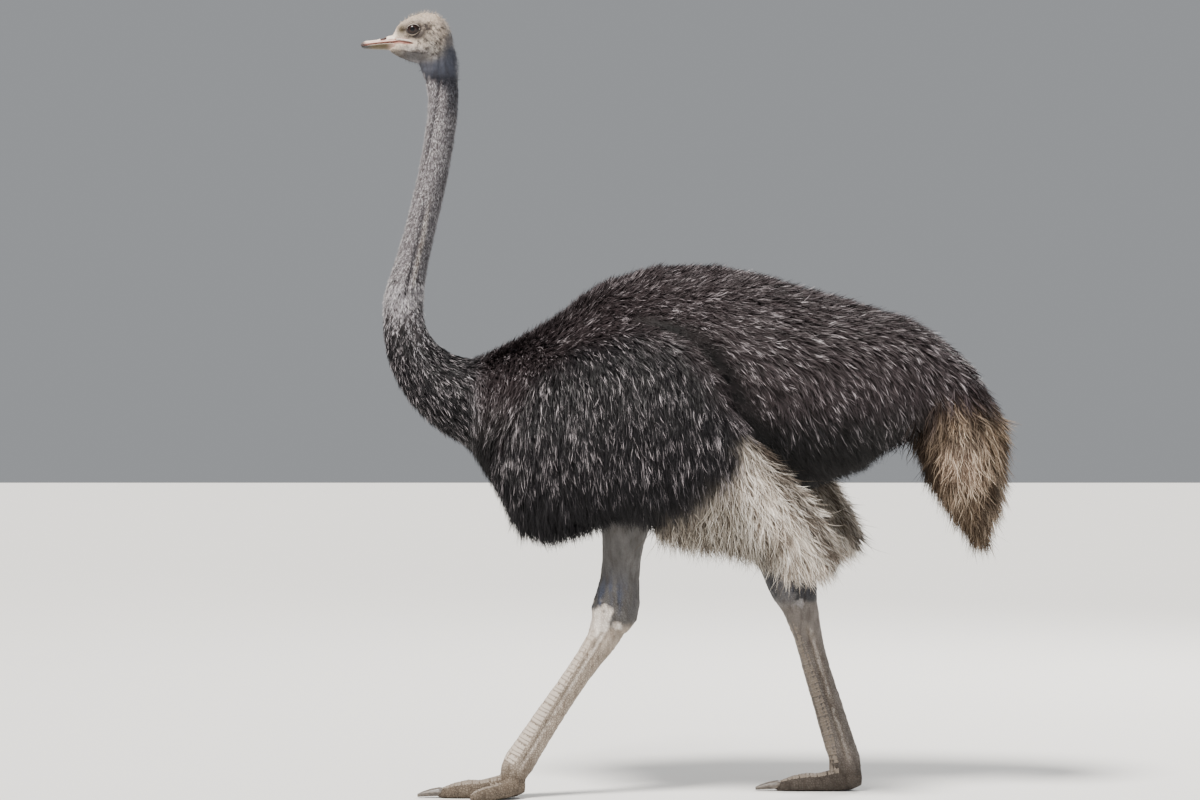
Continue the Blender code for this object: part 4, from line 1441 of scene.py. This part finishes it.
# length and width in metres, angles in degrees; gather draws the tips of a lock together
bodyLook = {
    "locks": 5800, "blades": 5, "segments": 3, "width": 0.0024, "spread": 0.0070, "droop": 0.16,
    "gather": 0.75, "bend": 0.12, "wave": 0.04, "turns": 1.0, "curl": 0.07, "roll": 28.0, "swirl": 13.0,
    "speckle": False, "feather": "plumageBlack", "slot": "plumage_black",
    "length": lambda p: 0.038 - 0.030 * bump(creaseGap(p), 0.047) + 0.010 * underside(p),
    "lift": lambda p: (
        16 + 7 * ease(p[:, 2], 1.20, 1.32) + 9 * ease(p[:, 1], -0.30, -0.42) + 8 * underside(p)
    ),
    # shine: patchy, less low on the body, and almost none along the crease, where the duller, darker blades
    # are painted shadow
    "shine": lambda p: (
        patches(p) * (1 - 0.35 * ease(p[:, 2], 1.02, 0.92)) * (1 - 0.95 * bump(creaseGap(p), 0.024))
    ),
}
wingLook = {
    **bodyLook, "locks": 6400, "droop": 0.30, "swirl": 10.0, "wave": 0.05,
    "length": lambda p: 0.040 + 0.016 * ease(p[:, 2], 0.86, 0.78),
    "lift": same(15),
    # shine: patchy, less low on the wing, and almost none along the crease, where the darker blades are
    # painted shadow
    "shine": lambda p: (
        patches(p) * (1 - 0.9 * bump(creaseGap(p), 0.017)) * (1 - 0.3 * ease(p[:, 2], 0.90, 0.76))
    ),
}
neckBaseLook = {
    **bodyLook, "locks": 4600, "blades": 4, "spread": 0.0055, "width": 0.0022,
    "speckle": True, "speckleTo": 1.42,
    "length": lambda p: 0.013 + 0.019 * ease(p[:, 2], 1.30, 1.12),
    "lift": same(13),
    "shine": same(1),
}
neckLook = {
    **neckBaseLook, "locks": 11500, "blades": 3, "segments": 2, "width": 0.0011, "spread": 0.0026,
    "droop": 0.1, "gather": 0.5, "wave": 0.05, "bend": 0.18, "curl": 0.10, "roll": 35.0, "swirl": 17.0,
    "feather": "neckDown", "slot": "neck_down",
    "length": lambda p: 0.0088 + 0.010 * ease(p[:, 2], 1.46, 1.32),
    "lift": same(19),
}
headLook = {
    **neckLook, "locks": 15000, "width": 0.00062, "spread": 0.0012, "swirl": 15.0, "droop": 0.25,
    "bend": 0.22, "feather": "headDown",
    "length": lambda p: 0.0064 + 0.0050 * spot(p, -0.695, 2.050, 0.024, 0.024),
    "lift": same(12),
}
bristleLook = {
    **neckLook, "locks": 3000, "blades": 1, "width": 0.0006, "spread": 0.0, "bend": 0.3, "swirl": 25.0,
    "feather": "darkBristle",
    "length": lambda p: 0.0105 + 0.0030 * ease(p[:, 2], 2.12, 2.14),
    "lift": same(52),
}
plumeLook = {
    **bodyLook, "locks": 2700, "blades": 4, "segments": 4, "width": 0.0023, "spread": 0.0065, "droop": 0.22,
    "gather": 0.8, "bend": 0.20, "wave": 0.07, "turns": 0.8, "curl": 0.08, "swirl": 12.0,
    "feather": "plumeWhite", "slot": "plume_white",
    "length": same(0.062),
    "lift": same(13),
    "shine": same(1),
}
tailLook = {
    **plumeLook, "width": 0.0033, "gather": 1.0, "bend": 0.18, "wave": 0.11, "turns": 1.1, "curl": 0.16,
    "swirl": 15.0, "locks": 2600, "feather": "plumeTan", "slot": "plume_tan",
    "length": same(0.068),
    "lift": same(17),
}
edgeLook = {
    **bodyLook, "locks": 520, "blades": 4, "width": 0.0020, "spread": 0.0050, "droop": 0.05, "swirl": 6.0,
    "bend": 0.07, "length": same(0.060), "lift": same(10), "shine": same(1),
}
strayLook = {
    **bodyLook, "locks": 2600, "blades": 1, "segments": 4, "width": 0.0016, "bend": 0.30, "wave": 0.08,
    "curl": 0.10, "swirl": 22.0,
    "length": lambda p: 0.050 - 0.042 * bump(creaseGap(p), 0.055) + 0.012 * underside(p),
    "lift": same(21),
}
wispLook = {
    **plumeLook, "locks": 800, "blades": 1, "width": 0.0015, "bend": 0.34, "wave": 0.10, "curl": 0.16,
    "swirl": 16.0, "length": same(0.082), "lift": same(17),
}


# the lie: the way that the feathers of each part point, before it is laid flat on the skin
def edgeLie(p):
    run = np.array(wingEdge)
    steps = run[1:] - run[:-1]
    nearest = np.argmin([lineGap(p, ends) for ends in zip(run[:-1], run[1:])], axis=0)
    return np.stack([0 * p[:, 0], steps[nearest, 0], steps[nearest, 1]], 1)


def bodyLie(p):
    fall = 0.30 + 1.25 * ease(p[:, 2], 1.28, 1.06) + 0.75 * ease(p[:, 1], 0.42, 0.66)
    fall = fall + 0.9 * ease(p[:, 1], -0.28, -0.50)
    return np.stack([0 * fall, 1 + 0 * fall, -fall], 1)


def wingLie(p):
    back = 0.24 + 0.75 * ease(p[:, 2], 1.10, 1.26)
    rim = bump(creaseGap(p), 0.045)[:, None] * 0.95  # along the rim the feathers follow it
    return np.stack([0 * back, back, -1 + 0 * back], 1) * (1 - rim) + unit(edgeLie(p)) * rim


def neckLie(p):
    return wayAlong(p, neckRun)


def neckBaseLie(p):
    return neckLie(p) + bodyLie(p) * ease(p[:, 1], -0.66, -0.50)[:, None]


def headLie(p):
    return np.stack([0 * p[:, 0], 1 + 0 * p[:, 0], -0.25 - 1.2 * ease(p[:, 1], -0.72, -0.65)], 1)


def plumeLie(p):
    deep = plumeDepth(p)
    edge = ease(deep, 0.045, 0.0)[:, None]
    hang = ease(deep, 0.08, 0.18)[:, None]
    return np.array((0, *plumeRun)) + edge * np.array((0, 0.30, 0.20)) + hang * np.array((0, -0.42, -0.10))


def tailLie(p):
    out = np.stack([p[:, 0] * 2.2, (p[:, 1] - 0.77) * 2.2, 0 * p[:, 0]], 1)
    return out + np.array((0, 0.16, -1.0))


y, z = skinPoints[:, 1], skinPoints[:, 2]
parting = 1 - 0.99 * bump(creaseGap(skinPoints), 0.019) * (np.abs(skinPoints[:, 0]) > skinForm["sideFrom"])
breastTo, rumpFrom, bellyTo = -0.26, 0.20, 1.0  # where the trunk's coat is divided into pieces
trunkPart = ownedBy("trunk")
middlePart = trunkPart * (y >= breastTo) * (y < rumpFrom)
for wingSide, seed in (("left", 1), ("right", 2)):
    weight = ownedBy("wing_" + wingSide) * parting
    growCoat("coat_wing_" + wingSide, wingLook, seed, weight, wingLie, ((0, -0.6, 0.98), (0, 0.3, 0.98)))
for coatName, seed, weight, axis in (
    ("coat_breast", 3, trunkPart * (y < breastTo), ((0, -0.6, 1.0), (0, 0.0, 1.0))),
    ("coat_back", 4, middlePart * (z > bellyTo), ((0, -0.3, 1), (0, 0.3, 1))),
    ("coat_belly", 5, middlePart * (z <= bellyTo), ((0, -0.3, 1), (0, 0.3, 1))),
    ("coat_rump", 6, trunkPart * (y >= rumpFrom), ((0, 0.1, 1.03), (0, 0.8, 1.03))),
):
    growCoat(coatName, bodyLook, seed, weight * parting, bodyLie, axis)
weight = ownedBy("neck_lower") * (z < 1.40) * parting
growCoat("coat_neck_base", neckBaseLook, 7, weight, neckBaseLie, ((0, -0.76, 1.4), (0, -0.62, 1.0)))
for wingSide, seed in (("left", 14), ("right", 15)):
    weight = ownedBy("wing_" + wingSide) * bump(gapTo(skinPoints, wingEdge), 0.008)
    growCoat("wing_edge_" + wingSide, edgeLook, seed, weight, edgeLie, ((0, -0.1, 1.3), (0, 0.2, 0.9)))
fringe = 0.35 + ease(z, 1.30, 1.36) + 2.5 * underside(skinPoints)
weight = ownedBy("trunk", "wing_left", "wing_right") * parting * fringe
growCoat("strays", strayLook, 16, weight, bodyLie, ((0, -0.4, 1.05), (0, 0.7, 1.05)))

bareUpper = 1 - 0.75 * ease(z + 0.4 * (y + 0.675), 1.945, 1.985)
weight = ownedBy("neck_middle", "neck_upper", "neck_lower") * ease(z, 1.31, 1.38)
weight = weight * bareUpper * (1 - 0.8 * neckGroove)
growCoat("down_neck", neckLook, 8, weight, neckLie, ((0, -0.77, 1.3), (0, -0.67, 2.0)))

headPart = ownedBy("head")
eyeGap = np.minimum(*[aroundEye(skinPoints, side)[1] for side in sides])
weight = headPart * ease(eyeGap, 1.5, 2.0) * (0.55 + 0.45 * spot(skinPoints, -0.700, 2.060, 0.03, 0.04))
weight = weight * (1 - gapeBand(skinPoints)[0]) * ease(z, 2.005, 2.03)
weight = weight * ease(np.hypot(y + 0.803, z - 2.075), 0.006, 0.014)
growCoat("down_head", headLook, 9, weight, headLie, ((0, -0.80, 2.07), (0, -0.64, 2.07)))

outside = ease(np.abs(y - neckMiddle(z)), 0.012, 0.030) * ownedBy("neck_upper", "neck_middle")
crown = headPart * ease(z, 2.10, 2.13) + headPart * ease(y, -0.672, -0.655)
weight = (0.35 * outside + crown + 0.5 * headPart * ease(z, 2.035, 2.02)) * ease(eyeGap, 1.8, 2.4)
growCoat("bristles", bristleLook, 13, weight, headLie, ((0, -0.72, 1.4), (0, -0.67, 2.1)))

for plumeSide, seed in (("left", 10), ("right", 11)):
    node = "wing_plumes_" + plumeSide
    lowest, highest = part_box(node)
    x = (lowest[0] + highest[0]) / 2
    line = ((x, lowest[1], highest[2] - 0.05), (x, highest[1], lowest[2] + 0.05))
    growCoat("plumes_" + plumeSide, plumeLook, seed, ownedBy(node), plumeLie, line, [node])
weight = ownedBy("wing_plumes_left", "wing_plumes_right")
growCoat("plume_wisps", wispLook, 17, weight, plumeLie, ((0, 0.1, 1.1), (0, 0.7, 0.7)))
tanWisps = {**wispLook, "feather": "plumeTan", "slot": "plume_tan"}
growCoat("tail_wisps", tanWisps, 18, ownedBy("tail"), tailLie, ((0, 0.1, 1.1), (0, 0.7, 0.7)))
growCoat("tail_plumes", tailLook, 12, ownedBy("tail"), tailLie, ((0, 0.70, 1.2), (0, 0.80, 0.7)), ["tail"])
print("coat grown")
